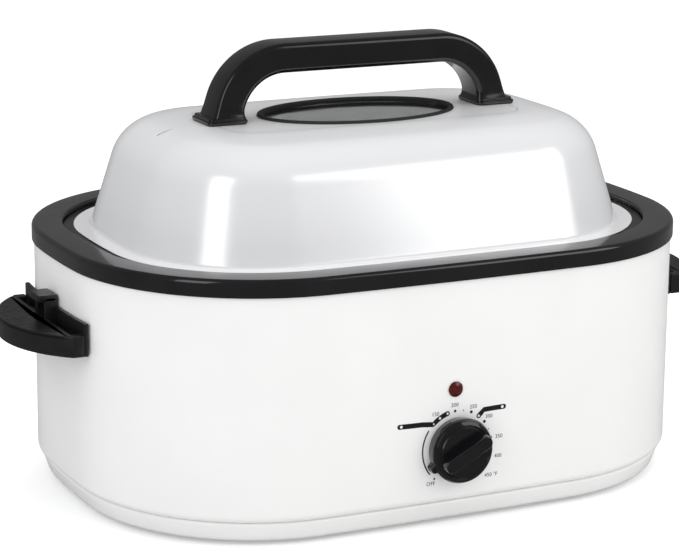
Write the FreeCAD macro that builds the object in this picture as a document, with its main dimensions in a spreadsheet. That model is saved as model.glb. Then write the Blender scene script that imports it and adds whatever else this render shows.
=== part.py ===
import FreeCAD, Part
import math
import os
import Sketcher

os.makedirs("parts", exist_ok=True)
document = FreeCAD.newDocument("roaster_oven")
sheet = document.addObject("Spreadsheet::Sheet", "dims")
vec = FreeCAD.Vector
ORIGIN_POINT = (-1, 1)
X_AXIS, Y_AXIS = -1, -2
START, END, CENTRE = 1, 2, 3


class Length:
    """A size: its value in mm, and the spreadsheet expression that gives it."""

    def __init__(self, value, text):
        self.value = float(value)
        self.text = text

    def __add__(self, other):
        other = length(other)
        return Length(self.value + other.value, "(%s + %s)" % (self.text, other.text))

    def __sub__(self, other):
        other = length(other)
        return Length(self.value - other.value, "(%s - %s)" % (self.text, other.text))

    def __mul__(self, other):
        other = length(other)
        return Length(self.value * other.value, "(%s * %s)" % (self.text, other.text))

    def __truediv__(self, other):
        other = length(other)
        return Length(self.value / other.value, "(%s / %s)" % (self.text, other.text))

    def __rsub__(self, other):
        return length(other) - self

    def __neg__(self):
        return Length(-self.value, "(-1 * %s)" % self.text)

    __radd__ = __add__
    __rmul__ = __mul__


def length(value):
    """A plain number as a Length."""
    return value if isinstance(value, Length) else Length(value, "(%r)" % float(value))


class Dims:
    """The driving dimensions, by the words that are their aliases in the spreadsheet."""


dims = Dims()

DRIVING = (
    # plan outline of the rim: a rectangle with bowed sides and round corners
    ("rim_half_length", 280.0), ("rim_half_depth", 201.0),
    ("front_bow", 9.0), ("end_bow", 24.0), ("corner_round", 165.0),
    # levels above the floor
    ("foot_height", 3.0), ("parting_height", 21.0), ("liner_floor_height", 42.0),
    ("rim_top", 226.0), ("rim_band_height", 15.0), ("rim_step_depth", 6.2),
    ("rim_thickness", 1.2), ("rim_roll", 4.0), ("rim_flange_width", 27.0), ("rim_shelf_width", 11.0),
    # housing
    ("shell_inset", 2.0), ("shell_thickness", 1.0), ("shell_hem_round", 7.0), ("shell_hem_width", 10.0),
    ("shell_top_gap", 3.0), ("base_inset", 4.6), ("base_foot_inset", 10.6), ("base_thickness", 1.0),
    ("base_round", 7.0), ("base_flange_width", 10.0),
    ("foot_radius", 11.0), ("foot_stem_radius", 4.0), ("foot_head_radius", 6.5), ("foot_head_height", 2.5),
    ("foot_place_x", 195.0), ("foot_place_y", 115.0), ("push_clearance", 0.1),
    # heating well
    ("liner_inset", 40.2), ("liner_thickness", 0.8), ("liner_round", 14.0), ("liner_flange_width", 12.0),
    ("band_thickness", 1.5), ("band_height", 60.0), ("band_foot", 74.0), ("seat_gap", 0.3),
    ("band_gap_width", 26.0), ("blanket_thickness", 8.0), ("blanket_foot", 70.0), ("blanket_height", 140.0),
    ("blanket_gap_width", 70.0),
    ("stud_radius", 2.0), ("stud_length", 9.0), ("stud_base_radius", 4.5), ("stud_base_height", 3.0),
    ("bracket_width", 22.0), ("bracket_reach", 20.0), ("bracket_thickness", 1.2),
    ("bracket_place_x", 150.0), ("bracket_place_y", 96.0),
    ("small_screw_radius", 1.9), ("small_screw_head", 3.8), ("small_screw_head_height", 1.6),
    ("small_screw_length", 8.0), ("screw_clearance", 0.15),
    # front controls
    ("dial_place_x", -1.5), ("dial_height", 68.0), ("knob_radius", 28.0), ("knob_height", 23.0),
    ("knob_gap", 0.8), ("knob_skirt_height", 7.0), ("knob_face_radius", 22.0), ("knob_face_height", 13.0),
    ("knob_grip_width", 13.0), ("knob_grip_length", 48.0), ("knob_nose_reach", 31.5), ("knob_nose_width", 12.0),
    ("off_angle", 152.0), ("knob_recess_radius", 12.0), ("knob_recess_depth", 6.0),
    ("shaft_radius", 3.0), ("shaft_flat_depth", 1.0), ("shaft_fit", 0.05), ("shaft_in_knob", 12.0),
    ("shaft_in_thermostat", 14.0), ("clip_thickness", 0.5), ("clip_height", 5.0),
    ("thermostat_width", 34.0), ("thermostat_depth", 20.0), ("thermostat_neck_radius", 5.0),
    ("thermostat_nut_width", 13.0), ("thermostat_nut_height", 2.6), ("neck_stand_out", 3.2),
    ("pilot_place_x", -4.0), ("pilot_height", 119.0), ("pilot_lens_radius", 5.4), ("pilot_lens_height", 2.6),
    ("pilot_barrel_radius", 4.4), ("pilot_barrel_length", 18.0), ("pilot_flange_height", 1.2),
    # back and wiring
    ("gland_place_x", 150.0), ("gland_height", 34.0), ("gland_radius", 7.0), ("gland_flange_radius", 10.0),
    ("gland_bore_radius", 4.2), ("gland_proud", 5.0), ("gland_inner_length", 4.0),
    ("block_length", 42.0), ("block_depth", 18.0), ("block_height", 13.0), ("block_place_x", 95.0),
    ("block_place_y", 140.0), ("block_hole_radius", 2.2), ("lead_radius", 1.5), ("fuse_radius", 3.2),
    ("fuse_length", 26.0), ("fuse_place_y", 60.0), ("bulb_radius", 3.0), ("bulb_length", 90.0),
    ("bulb_height", 62.0), ("capillary_radius", 0.9), ("strap_width", 8.0), ("strap_thickness", 0.8),
    # side handles, the left one as seen from the front
    ("handle_shift", 9.0), ("handle_half_length", 77.0), ("handle_top", 162.0), ("handle_skirt", 18.0),
    ("handle_chord", 288.0), ("handle_apex", 324.0), ("handle_wall", 3.0), ("plate_thickness", 4.0),
    ("plate_top", 172.0), ("plate_gap", 0.2), ("handle_end_block", 10.0), ("hook_half_width", 13.0),
    ("hook_rib", 4.0), ("hook_reach", 297.0), ("hook_rib_reach", 291.0), ("hook_top", 182.0),
    ("hook_cap", 6.0), ("notch_reach", 297.0), ("notch_half_width", 11.5), ("handle_screw_spacing", 90.0),
    ("handle_screw_height", 151.0), ("handle_screw_radius", 2.0), ("handle_screw_head", 4.2),
    ("handle_screw_head_height", 2.4), ("wall_hole_clearance", 0.5), ("handle_screw_gap", 0.8),
    ("handle_boss_half", 6.0),
    # roasting pan
    ("pan_thickness", 1.2), ("pan_flange_gap", 1.0), ("pan_wall_inset", 44.5), ("pan_draft", 6.0),
    ("pan_round", 22.0), ("pan_floor_gap", 4.0), ("pan_lip_round", 3.0),
    # rack of welded wire
    ("rack_wire_radius", 2.2), ("rack_rod_radius", 1.5), ("rack_inset", 66.0), ("rack_leg_height", 12.0),
    ("rack_pitch", 22.0), ("rack_grip_height", 62.0), ("rack_grip_half_width", 42.0),
    # lid
    ("lid_flange_inset", 36.5), ("lid_thickness", 1.0), ("lid_rest_gap", 0.3), ("lid_flange_width", 14.5),
    ("lid_foot_round", 3.0), ("lid_wall_top_inset", 42.0), ("lid_shoulder_round", 44.0),
    ("lid_crown_inset", 88.0), ("lid_top", 318.0), ("lid_crown_rise", 7.2), ("lid_crown_round", 150.0),
    ("lid_plate_inset", 104.0), ("lid_lip_depth", 5.0), ("lid_lip_inset", 11.0),
    ("window_half_length", 92.0), ("window_half_depth", 57.5), ("gasket_width", 5.0), ("gasket_stand", 2.4),
    ("glass_thickness", 3.2), ("glass_bite", 2.5), ("gasket_lip", 1.6),
    ("vent_place_x", -181.0), ("vent_place_y", -2.0), ("vent_length", 14.0), ("vent_width", 2.4),
    ("grip_centre", 75.0), ("grip_outer_round", 64.0), ("grip_section", 25.0), ("grip_width", 35.0),
    ("grip_edge_round", 4.5), ("grip_pad_inner", 111.0), ("grip_pad_outer", 148.0), ("grip_pad_half", 21.0),
    ("grip_pad_height", 5.0), ("grip_gasket", 1.0), ("grip_screw_radius", 2.5), ("grip_screw_head", 5.0),
    ("grip_screw_head_height", 3.0), ("grip_screw_length", 24.0), ("washer_radius", 9.0),
    ("washer_thickness", 1.2),
)

for row, (word, number) in enumerate(DRIVING, start=1):
    sheet.set("A%d" % row, word)
    sheet.set("B%d" % row, str(number))
    sheet.setAlias("B%d" % row, word)
    setattr(dims, word, Length(number, "dims." + word))
document.recompute()

# Sizes worked out from the driving ones

front_radius = (dims.rim_half_length * dims.rim_half_length + dims.front_bow * dims.front_bow) \
    / (2 * dims.front_bow)
end_radius = (dims.rim_half_depth * dims.rim_half_depth + dims.end_bow * dims.end_bow) / (2 * dims.end_bow)
shell_front = dims.rim_half_depth - dims.shell_inset
shell_end = dims.rim_half_length - dims.shell_inset
plan_shift = (dims.knob_gap + dims.knob_height - dims.gland_proud) / 2
shelf_top = dims.rim_top - dims.rim_step_depth
shelf_inner = dims.rim_flange_width + dims.rim_shelf_width
base_floor = dims.foot_height + dims.base_thickness
pan_flange_foot = shelf_top + dims.seat_gap
pan_flange_top = pan_flange_foot + dims.pan_thickness
pan_floor = dims.liner_floor_height + dims.liner_thickness + dims.pan_floor_gap
pan_inside_floor = pan_floor + dims.pan_thickness
lid_flange_foot = pan_flange_top + dims.lid_rest_gap
lid_flange_top = lid_flange_foot + dims.lid_thickness
lid_under = dims.lid_top - dims.lid_thickness
lid_shoulder_height = dims.lid_top - dims.lid_crown_rise
shell_inner = dims.shell_inset + dims.shell_thickness
band_inset = dims.liner_inset - dims.seat_gap - dims.band_thickness
blanket_inset = band_inset - dims.seat_gap - dims.blanket_thickness

CENTRED = (length(0), plan_shift, length(0))


# Helpers for sketches and features

def bind(item, path, size):
    """Ties a property to the sheet."""
    item.setExpression(path, size.text)


def place(item, where=CENTRED, turn=None):
    """Puts a sub-part at a point worked out from the sheet, and turns it."""
    x, y, z = (length(value) for value in where)
    item.Placement = FreeCAD.Placement(vec(x.value, y.value, z.value), turn or FreeCAD.Rotation())
    for axis, size in (("x", x), ("y", y), ("z", z)):
        bind(item, "Placement.Base." + axis, size)


def new_body(label, where=CENTRED, turn=None):
    body = document.addObject("PartDesign::Body", label)
    body.Label = label
    place(body, where, turn)
    return body


def new_sketch(body, name, role="XY_Plane", level=0):
    """A sketch on one of the body's origin planes, raised by a level."""
    level = length(level)
    sketch = body.newObject("Sketcher::SketchObject", name)
    flat = [item for item in body.Origin.OriginFeatures if item.Role == role][0]
    sketch.AttachmentSupport = [(flat, "")]
    sketch.MapMode = "FlatFace"
    sketch.AttachmentOffset = FreeCAD.Placement(vec(0, 0, level.value), FreeCAD.Rotation())
    bind(sketch, "AttachmentOffset.Base.z", level)
    return sketch


def rule(sketch, kind, *places):
    return sketch.addConstraint(Sketcher.Constraint(kind, *places))


def size_rule(sketch, name, kind, places, size):
    """A named constraint whose value follows the sheet."""
    number = rule(sketch, kind, *places, size.value)
    sketch.renameConstraint(number, name)
    bind(sketch, "Constraints." + name, size)


def fix_point(sketch, name, geometry, end, x, y):
    """Holds a point at two sizes from the sketch's origin."""
    for axis, size, line in (("X", length(x), Y_AXIS), ("Y", length(y), X_AXIS)):
        if size.value == 0:
            rule(sketch, "PointOnObject", geometry, end, line)
        else:
            size_rule(sketch, name + axis, "Distance" + axis, (*ORIGIN_POINT, geometry, end), size)


def side_angles(inset, corner):
    """Corner arc's centre, and the directions from the side arcs' centres to it, front right corner."""
    front_centre = front_radius.value - dims.rim_half_depth.value
    end_centre = end_radius.value - dims.rim_half_length.value
    to_front = front_radius.value - inset - corner
    to_end = end_radius.value - inset - corner
    between = math.hypot(front_centre, end_centre)
    along = (to_front ** 2 - to_end ** 2 + between ** 2) / (2 * between)
    across = math.sqrt(to_front ** 2 - along ** 2)
    unit = (-end_centre / between, -front_centre / between)
    centre_x = along * unit[0] - across * unit[1]
    centre_y = front_centre + along * unit[1] + across * unit[0]
    return (centre_x, centre_y,
            math.atan2(centre_y - front_centre, centre_x),
            math.atan2(centre_y, centre_x + end_centre))


def add_outline(sketch, inset, corner=None, tag=""):
    """The rim's outline, drawn in by an inset: four side arcs and four corner arcs, all tangent.

    The front arc is in two halves that meet at its middle, where a swept section starts.
    """
    inset = length(inset)
    corner = corner or dims.corner_round - inset
    x, y, front, end = side_angles(inset.value, corner.value)
    front_centre = front_radius.value - dims.rim_half_depth.value
    end_centre = end_radius.value - dims.rim_half_length.value
    side, across, small = front_radius - inset, end_radius - inset, corner.value
    down, half = -math.pi / 2, math.pi
    arcs = (
        (0, front_centre, side.value, down, front), (x, y, small, front, end),
        (-end_centre, 0, across.value, end, -end), (x, -y, small, -end, -front),
        (0, -front_centre, side.value, -front, half + front), (-x, -y, small, half + front, half + end),
        (end_centre, 0, across.value, half + end, half - end), (-x, y, small, half - end, half - front),
        (0, front_centre, side.value, half - front, 2 * half + down),
    )
    ids = [sketch.addGeometry(Part.ArcOfCircle(Part.Circle(vec(cx, cy, 0), vec(0, 0, 1), r), a, b), False)
           for cx, cy, r, a, b in arcs]
    for one, two in zip(ids[:-1], ids[1:]):
        rule(sketch, "Tangent", one, END, two, START)
    rule(sketch, "Coincident", ids[8], END, ids[0], START)
    rule(sketch, "Coincident", ids[8], CENTRE, ids[0], CENTRE)
    rule(sketch, "PointOnObject", ids[0], START, Y_AXIS)
    for number, axis in ((0, Y_AXIS), (4, Y_AXIS), (2, X_AXIS), (6, X_AXIS)):
        rule(sketch, "PointOnObject", ids[number], CENTRE, axis)
    for one, two in ((0, 4), (2, 6), (1, 3), (1, 5), (1, 7)):
        rule(sketch, "Equal", ids[one], ids[two])
    size_rule(sketch, "side" + tag, "Radius", (ids[0],), side)
    size_rule(sketch, "ends" + tag, "Radius", (ids[2],), across)
    size_rule(sketch, "corner" + tag, "Radius", (ids[1],), corner)
    to_front, to_end = front_radius - dims.rim_half_depth, end_radius - dims.rim_half_length
    size_rule(sketch, "front" + tag, "DistanceY", (*ORIGIN_POINT, ids[0], CENTRE), to_front)
    size_rule(sketch, "back" + tag, "DistanceY", (ids[4], CENTRE, *ORIGIN_POINT), to_front)
    size_rule(sketch, "right" + tag, "DistanceX", (ids[2], CENTRE, *ORIGIN_POINT), to_end)
    size_rule(sketch, "left" + tag, "DistanceX", (*ORIGIN_POINT, ids[6], CENTRE), to_end)


def add_polygon(sketch, points, rounds=None, tag="p"):
    """A closed outline through points, each bound to the sheet; rounds gives corner radii by number."""
    rounds = rounds or {}
    points = [(length(x), length(y)) for x, y in points]
    flat = [vec(x.value, y.value, 0) for x, y in points]
    count = len(points)
    trims = {}
    for number, radius in rounds.items():
        corner = flat[number]
        before = (flat[number - 1] - corner).normalize()
        after = (flat[(number + 1) % count] - corner).normalize()
        half = before.getAngle(after) / 2
        reach = length(radius).value / math.tan(half)
        middle = corner + (before + after).normalize() * (length(radius).value / math.sin(half))
        trims[number] = (corner + before * reach, corner + after * reach, middle)
    lines = []
    for number in range(count):
        following = (number + 1) % count
        start = trims[number][1] if number in trims else flat[number]
        end = trims[following][0] if following in trims else flat[following]
        lines.append(sketch.addGeometry(Part.LineSegment(start, end), False))
    for number in range(count):
        before, after = lines[number - 1], lines[number]
        name = "%s%d" % (tag, number)
        if number in trims:
            first, last, middle = trims[number]
            radius, one, two = (first - middle).Length, first - middle, last - middle
            counterclockwise = one.cross(two).z > 0
            angles = [math.atan2(side.y, side.x) for side in (one, two)]
            ends = (START, END) if counterclockwise else (END, START)
            low, high = angles if counterclockwise else reversed(angles)
            circle = Part.Circle(middle, vec(0, 0, 1), radius)
            arc = sketch.addGeometry(Part.ArcOfCircle(circle, low, high), False)
            rule(sketch, "Tangent", before, END, arc, ends[0])
            rule(sketch, "Tangent", arc, ends[1], after, START)
            size_rule(sketch, name + "R", "Radius", (arc,), length(rounds[number]))
            corner = sketch.addGeometry(Part.Point(flat[number]), True)
            rule(sketch, "PointOnObject", corner, START, before)
            rule(sketch, "PointOnObject", corner, START, after)
            fix_point(sketch, name, corner, START, *points[number])
        else:
            rule(sketch, "Coincident", before, END, after, START)
            fix_point(sketch, name, after, START, *points[number])


def add_circle(sketch, name, x, y, radius):
    x, y, radius = length(x), length(y), length(radius)
    circle = sketch.addGeometry(Part.Circle(vec(x.value, y.value, 0), vec(0, 0, 1), radius.value), False)
    fix_point(sketch, name, circle, CENTRE, x, y)
    size_rule(sketch, name + "R", "Radius", (circle,), radius)


def add_ellipse(sketch, name, half_x, half_y):
    """An ellipse about the sketch's origin, longer along X."""
    ends = (vec(half_x.value, 0, 0), vec(0, half_y.value, 0), vec(0, 0, 0))
    oval = sketch.addGeometry(Part.Ellipse(*ends), False)
    first = oval + 1
    sketch.exposeInternalGeometry(oval)
    rule(sketch, "Coincident", oval, CENTRE, *ORIGIN_POINT)
    rule(sketch, "Horizontal", first)
    size_rule(sketch, name + "L", "Distance", (first,), 2 * half_x)
    size_rule(sketch, name + "W", "Distance", (first + 1,), 2 * half_y)


def feature(body, kind, name, sketch):
    item = body.newObject("PartDesign::" + kind, name)
    item.Profile = sketch
    return item


def pad(body, name, sketch, height, midplane=False):
    item = feature(body, "Pad", name, sketch)
    item.Length = height.value
    bind(item, "Length", height)
    item.Midplane = midplane
    return item


def pocket(body, name, sketch, depth, reverse=False, midplane=False):
    """Cuts a sketch down into the body, and checks that it cut something."""
    document.recompute()
    before = body.Shape.Volume
    item = feature(body, "Pocket", name, sketch)
    item.Length = depth.value
    bind(item, "Length", depth)
    item.Reversed = reverse
    item.Midplane = midplane
    document.recompute()
    if body.Shape.Volume > before - 1e-6:
        raise RuntimeError("%s cuts nothing" % name)
    return item


def swept(body, name, points, rounds=None, kind="AdditivePipe", inset=0, corner=None):
    """A section carried round the outline. Its points are (inset from the rim's outline, height)."""
    spine = new_sketch(body, name + "_path")
    add_outline(spine, inset, corner)
    section = new_sketch(body, name + "_section", "YZ_Plane")
    add_polygon(section, [(length(across) - dims.rim_half_depth, up) for across, up in points], rounds)
    item = feature(body, kind, name, section)
    item.Spine = spine
    return item


def outline_pad(body, name, insets, level, height, corners=(None, None)):
    """A plate, or with two insets a ring, of the rim's outline."""
    sketch = new_sketch(body, name + "_sketch", level=level)
    for number, inset in enumerate(insets):
        add_outline(sketch, inset, corners[number], tag=str(number))
    return pad(body, name, sketch, height)


def turned(body, name, points, rounds=None, kind="Revolution"):
    """A profile of (radius, height) turned about the body's own Z axis."""
    sketch = new_sketch(body, name + "_profile", "XZ_Plane")
    add_polygon(sketch, points, rounds)
    item = feature(body, kind, name, sketch)
    item.ReferenceAxis = ([part for part in body.Origin.OriginFeatures if part.Role == "Z_Axis"][0], [""])
    item.Angle = 360.0
    return item


def round_edges(body, name, radius, wanted):
    """Rounds those edges of the body that the test accepts."""
    document.recompute()
    base = body.Tip
    names = ["Edge%d" % (number + 1) for number, edge in enumerate(base.Shape.Edges) if wanted(edge)]
    item = body.newObject("PartDesign::Fillet", name)
    item.Base = (base, names)
    item.Radius = radius.value
    bind(item, "Radius", radius)
    document.recompute()
    return item


def rectangle(left, right, low, high):
    return [(left, low), (right, low), (right, high), (left, high)]


def round_holes(body, name, places, radius, level, depth, role="XY_Plane", reverse=False):
    """Round holes at (x, y) places in a plane, cut to a depth."""
    sketch = new_sketch(body, name + "_sketch", role, level)
    for number, (x, y) in enumerate(places):
        add_circle(sketch, "hole%d" % number, x, y, radius)
    return pocket(body, name, sketch, length(depth), reverse)


def corners_at(x, y):
    return [(x, y), (-x, y), (-x, -y), (x, -y)]


# A turn that points a body's own Z axis out of the front, with its Y axis up
FACING_FRONT = FreeCAD.Rotation(vec(1, 0, 0), 90)
# The same for the back
FACING_BACK = FreeCAD.Rotation(vec(1, 0, 0), -90)
HALF_TURN = FreeCAD.Rotation(vec(0, 0, 1), 180)


# Housing

def make_outer_shell():
    """Painted steel wall with its lower edge rolled in, and holes for what passes through it."""
    body = new_body("outer_shell")
    outer, inner = dims.shell_inset, shell_inner
    top = dims.rim_top - dims.rim_thickness - dims.shell_top_gap
    hem = outer + dims.shell_hem_width
    foot = dims.parting_height
    swept(body, "shell_wall", [
        (outer, top), (outer, foot), (hem, foot), (hem, foot + dims.shell_thickness),
        (inner, foot + dims.shell_thickness), (inner, top)],
        {1: dims.shell_hem_round, 4: dims.shell_hem_round - dims.shell_thickness})
    reach = shell_inner + 4
    round_holes(body, "shaft_hole", [(dims.dial_place_x, dims.dial_height)],
                dims.thermostat_neck_radius + dims.push_clearance,
                dims.rim_half_depth, reach, "XZ_Plane")
    round_holes(body, "pilot_hole", [(dims.pilot_place_x, dims.pilot_height)],
                dims.pilot_barrel_radius + dims.push_clearance,
                dims.rim_half_depth, reach, "XZ_Plane")
    round_holes(body, "gland_hole", [(dims.gland_place_x, dims.gland_height)],
                dims.gland_radius + dims.push_clearance,
                -dims.rim_half_depth, reach + 6, "XZ_Plane", reverse=True)
    half = dims.handle_screw_spacing / 2
    for side, sign in (("left", -1), ("right", 1)):
        shift = dims.handle_shift * (-sign)
        round_holes(body, side + "_handle_holes",
                    [(shift + half, dims.handle_screw_height), (shift - half, dims.handle_screw_height)],
                    dims.handle_screw_radius + dims.wall_hole_clearance,
                    sign * dims.rim_half_length, reach + 6, "YZ_Plane", reverse=sign < 0)
    return body


def make_base_pan():
    """Pressed tray that closes the housing from below: sloped side ring and flat floor."""
    body = new_body("base_pan")
    thick, foot, top = dims.base_thickness, dims.foot_height, dims.parting_height
    side, toe = dims.base_inset, dims.base_foot_inset
    flange = side + dims.base_flange_width
    floor_edge = toe + 50
    swept(body, "base_side", [
        (flange, top), (side, top), (toe, foot), (floor_edge, foot), (floor_edge, base_floor),
        (toe + thick, base_floor), (side + thick, top - thick), (flange, top - thick)],
        {1: thick * 2, 2: dims.base_round, 5: dims.base_round - thick, 6: thick})
    outline_pad(body, "base_floor", (floor_edge - 5,), foot, thick)
    round_holes(body, "foot_holes", corners_at(dims.foot_place_x, dims.foot_place_y),
                dims.foot_stem_radius + dims.push_clearance, base_floor, thick + 1)
    round_holes(body, "base_screw_holes", corners_at(dims.bracket_place_x, dims.bracket_place_y),
                dims.small_screw_radius + dims.screw_clearance, base_floor, thick + 1)
    return body


def make_feet():
    """Four push-in rubber feet, each a pad, a stem through the floor and a head above it."""
    body = new_body("rubber_feet")
    sketch = new_sketch(body, "foot_pads_sketch")
    stems = new_sketch(body, "foot_stems_sketch", level=dims.foot_height)
    heads = new_sketch(body, "foot_heads_sketch", level=base_floor)
    for number, (x, y) in enumerate(corners_at(dims.foot_place_x, dims.foot_place_y)):
        add_circle(sketch, "foot%d" % number, x, y, dims.foot_radius)
        add_circle(stems, "stem%d" % number, x, y, dims.foot_stem_radius)
        add_circle(heads, "head%d" % number, x, y, dims.foot_head_radius)
    body.AllowCompound = True
    pad(body, "foot_pads", sketch, dims.foot_height)
    pad(body, "foot_stems", stems, dims.base_thickness)
    pad(body, "foot_heads", heads, dims.foot_head_height)
    return body


def make_rim_ring():
    """Black enamelled ring: outer band, flat top, and a step down to the shelf that carries the pan."""
    body = new_body("rim_ring")
    thick, top = dims.rim_thickness, dims.rim_top
    swept(body, "rim", [
        (0, top - dims.rim_band_height), (0, top), (dims.rim_flange_width, top),
        (dims.rim_flange_width, shelf_top), (shelf_inner, shelf_top), (shelf_inner, shelf_top - thick),
        (dims.rim_flange_width - thick, shelf_top - thick), (dims.rim_flange_width - thick, top - thick),
        (thick, top - thick), (thick, top - dims.rim_band_height)],
        {1: dims.rim_roll, 2: thick * 1.5, 8: dims.rim_roll - thick, 7: thick * 0.4})
    return body


# Heating well

def make_liner():
    """Aluminised steel well that the pan stands in, with a flange under the rim's shelf."""
    body = new_body("liner")
    thick, floor = dims.liner_thickness, dims.liner_floor_height
    top = shelf_top - dims.rim_thickness
    out, inner = dims.liner_inset, dims.liner_inset + thick
    edge = out - dims.liner_flange_width
    plate = dims.liner_inset + 50
    swept(body, "liner_wall", [
        (edge, top), (edge, top - thick), (out, top - thick), (out, floor), (plate, floor),
        (plate, floor + thick), (inner, floor + thick), (inner, top)],
        {3: dims.liner_round, 6: dims.liner_round - thick})
    outline_pad(body, "liner_floor", (plate - 5,), floor, thick)
    return body


def make_blanket():
    """Glass-fibre blanket wrapped round the heater band, its ends apart at the terminals."""
    body = new_body("insulation_blanket")
    outline_pad(body, "blanket", (blanket_inset, blanket_inset + dims.blanket_thickness),
                dims.blanket_foot, dims.blanket_height)
    cut_back_gap(body, "blanket", dims.blanket_gap_width, dims.blanket_foot, dims.blanket_height)
    return body


def cut_back_gap(body, name, width, foot, height):
    """Opens a band at the back, as wide as asked."""
    gap = new_sketch(body, name + "_gap_sketch", level=foot + height)
    add_polygon(gap, rectangle(-width / 2, width / 2, dims.rim_half_depth / 2, dims.rim_half_depth))
    pocket(body, name + "_gap", gap, height)


def make_heater_band():
    """Mica heater band round the liner, open at the back where its ends are drawn together."""
    body = new_body("heater_band")
    outline_pad(body, "band", (band_inset, band_inset + dims.band_thickness), dims.band_foot, dims.band_height)
    cut_back_gap(body, "band", dims.band_gap_width, dims.band_foot, dims.band_height)
    return body


def make_heater_studs():
    """Porcelain bases with a brass stud, one on each end of the heater band."""
    bodies = []
    face = dims.rim_half_depth - band_inset
    for label, base in (("stud_bases", True), ("terminal_studs", False)):
        body = new_body(label, (length(0), plan_shift + face + dims.seat_gap / 3, length(0)), FACING_BACK)
        body.AllowCompound = True
        radius = dims.stud_base_radius if base else dims.stud_radius
        level = length(0) if base else dims.stud_base_height
        height = dims.stud_base_height if base else dims.stud_length
        sketch = new_sketch(body, label + "_sketch", level=level)
        for number, side in enumerate((-1, 1)):
            add_circle(sketch, "stud%d" % number, side * (dims.band_gap_width / 2 + 9),
                       -1 * (dims.band_foot + dims.band_height / 2), radius)
        pad(body, label + "_pad", sketch, height)
        bodies.append(body)
    return bodies


def make_brackets():
    """Four folded brackets that stand on the base floor and carry the liner."""
    body = new_body("liner_brackets")
    body.AllowCompound = True
    thick, half = dims.bracket_thickness, dims.bracket_width / 2
    reach = dims.bracket_reach
    for number, (x, y) in enumerate(corners_at(dims.bracket_place_x, dims.bracket_place_y)):
        sign = 1 if y.value > 0 else -1
        sketch = new_sketch(body, "bracket%d_sketch" % number, "YZ_Plane", x)
        near, far = y - sign * reach / 2, y + sign * reach / 2
        add_polygon(sketch, [
            (near, base_floor), (far, base_floor), (far, dims.liner_floor_height),
            (near, dims.liner_floor_height), (near, dims.liner_floor_height - thick),
            (far - sign * thick, dims.liner_floor_height - thick), (far - sign * thick, base_floor + thick),
            (near, base_floor + thick)])
        pad(body, "bracket%d" % number, sketch, 2 * half, midplane=True)
    round_holes(body, "bracket_holes", corners_at(dims.bracket_place_x, dims.bracket_place_y),
                dims.small_screw_radius + dims.screw_clearance, base_floor + thick, thick + 1)
    return body


def make_base_screws():
    """Four screws up through the base floor into the brackets."""
    body = new_body("base_screws")
    body.AllowCompound = True
    heads = new_sketch(body, "screw_heads_sketch", level=dims.foot_height - dims.small_screw_head_height)
    shanks = new_sketch(body, "screw_shanks_sketch", level=dims.foot_height)
    for number, (x, y) in enumerate(corners_at(dims.bracket_place_x, dims.bracket_place_y)):
        add_circle(heads, "head%d" % number, x, y, dims.small_screw_head)
        add_circle(shanks, "shank%d" % number, x, y, dims.small_screw_radius)
    pad(body, "screw_heads", heads, dims.small_screw_head_height)
    pad(body, "screw_shanks", shanks, dims.small_screw_length)
    return body


# Front controls: each body's own Z axis points out of the front

def front_place(x, height, depth=0):
    return (x, plan_shift - shell_front + depth, height)


def make_knob():
    """Control knob: skirt with a pointing nose, bevelled face and a grip bar across it."""
    body = new_body("knob", front_place(dims.dial_place_x, dims.dial_height, -dims.knob_gap), FACING_FRONT)
    skirt, face = dims.knob_radius, dims.knob_face_radius
    turned(body, "knob_turned", [
        (0, dims.knob_recess_depth), (dims.knob_recess_radius, dims.knob_recess_depth),
        (dims.knob_recess_radius, 0), (skirt - 0.8, 0), (skirt, dims.knob_skirt_height),
        (face + 1.5, dims.knob_face_height), (face - 1, dims.knob_face_height), (0, dims.knob_face_height)],
        {4: length(2), 5: length(1)})
    grip = new_sketch(body, "knob_grip_sketch", level=dims.knob_face_height - 1)
    half, reach = dims.knob_grip_width / 2, dims.knob_grip_length / 2
    add_polygon(grip, rectangle(-reach, reach, -half, half), {k: half * 0.9 for k in range(4)})
    pad(body, "knob_grip", grip, dims.knob_height - dims.knob_face_height + 1)
    nose = new_sketch(body, "knob_nose_sketch", level=0.5)
    root = dims.knob_recess_radius + 2
    add_polygon(nose, [(root, -dims.knob_nose_width / 2), (dims.knob_nose_reach, -1.5),
                       (dims.knob_nose_reach, 1.5), (root, dims.knob_nose_width / 2)], {1: 1.0, 2: 1.0})
    pad(body, "knob_nose", nose, dims.knob_skirt_height - 1)
    bore = new_sketch(body, "knob_bore_sketch", level=dims.knob_recess_depth + dims.shaft_in_knob)
    add_circle(bore, "bore", 0, 0, dims.shaft_radius + dims.shaft_fit + dims.clip_thickness)
    pocket(body, "knob_bore", bore, dims.shaft_in_knob + 1)
    turn = FreeCAD.Rotation(vec(0, 1, 0), dims.off_angle.value)
    body.Placement = FreeCAD.Placement(body.Placement.Base, turn.multiply(FACING_FRONT))
    bind(body, "Placement.Base.x", dims.dial_place_x)
    return body


def make_knob_clip():
    """Spring steel sleeve in the knob's bore that grips the shaft."""
    depth = -dims.knob_gap - dims.knob_recess_depth
    body = new_body("knob_clip", front_place(dims.dial_place_x, dims.dial_height, depth), FACING_FRONT)
    sketch = new_sketch(body, "clip_sketch", level=dims.shaft_in_knob - dims.clip_height - 1)
    outer = dims.shaft_radius + dims.shaft_fit + dims.clip_thickness
    add_circle(sketch, "outer", 0, 0, outer)
    add_circle(sketch, "inner", 0, 0, dims.shaft_radius + dims.shaft_fit)
    pad(body, "clip", sketch, dims.clip_height)
    return body


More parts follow.
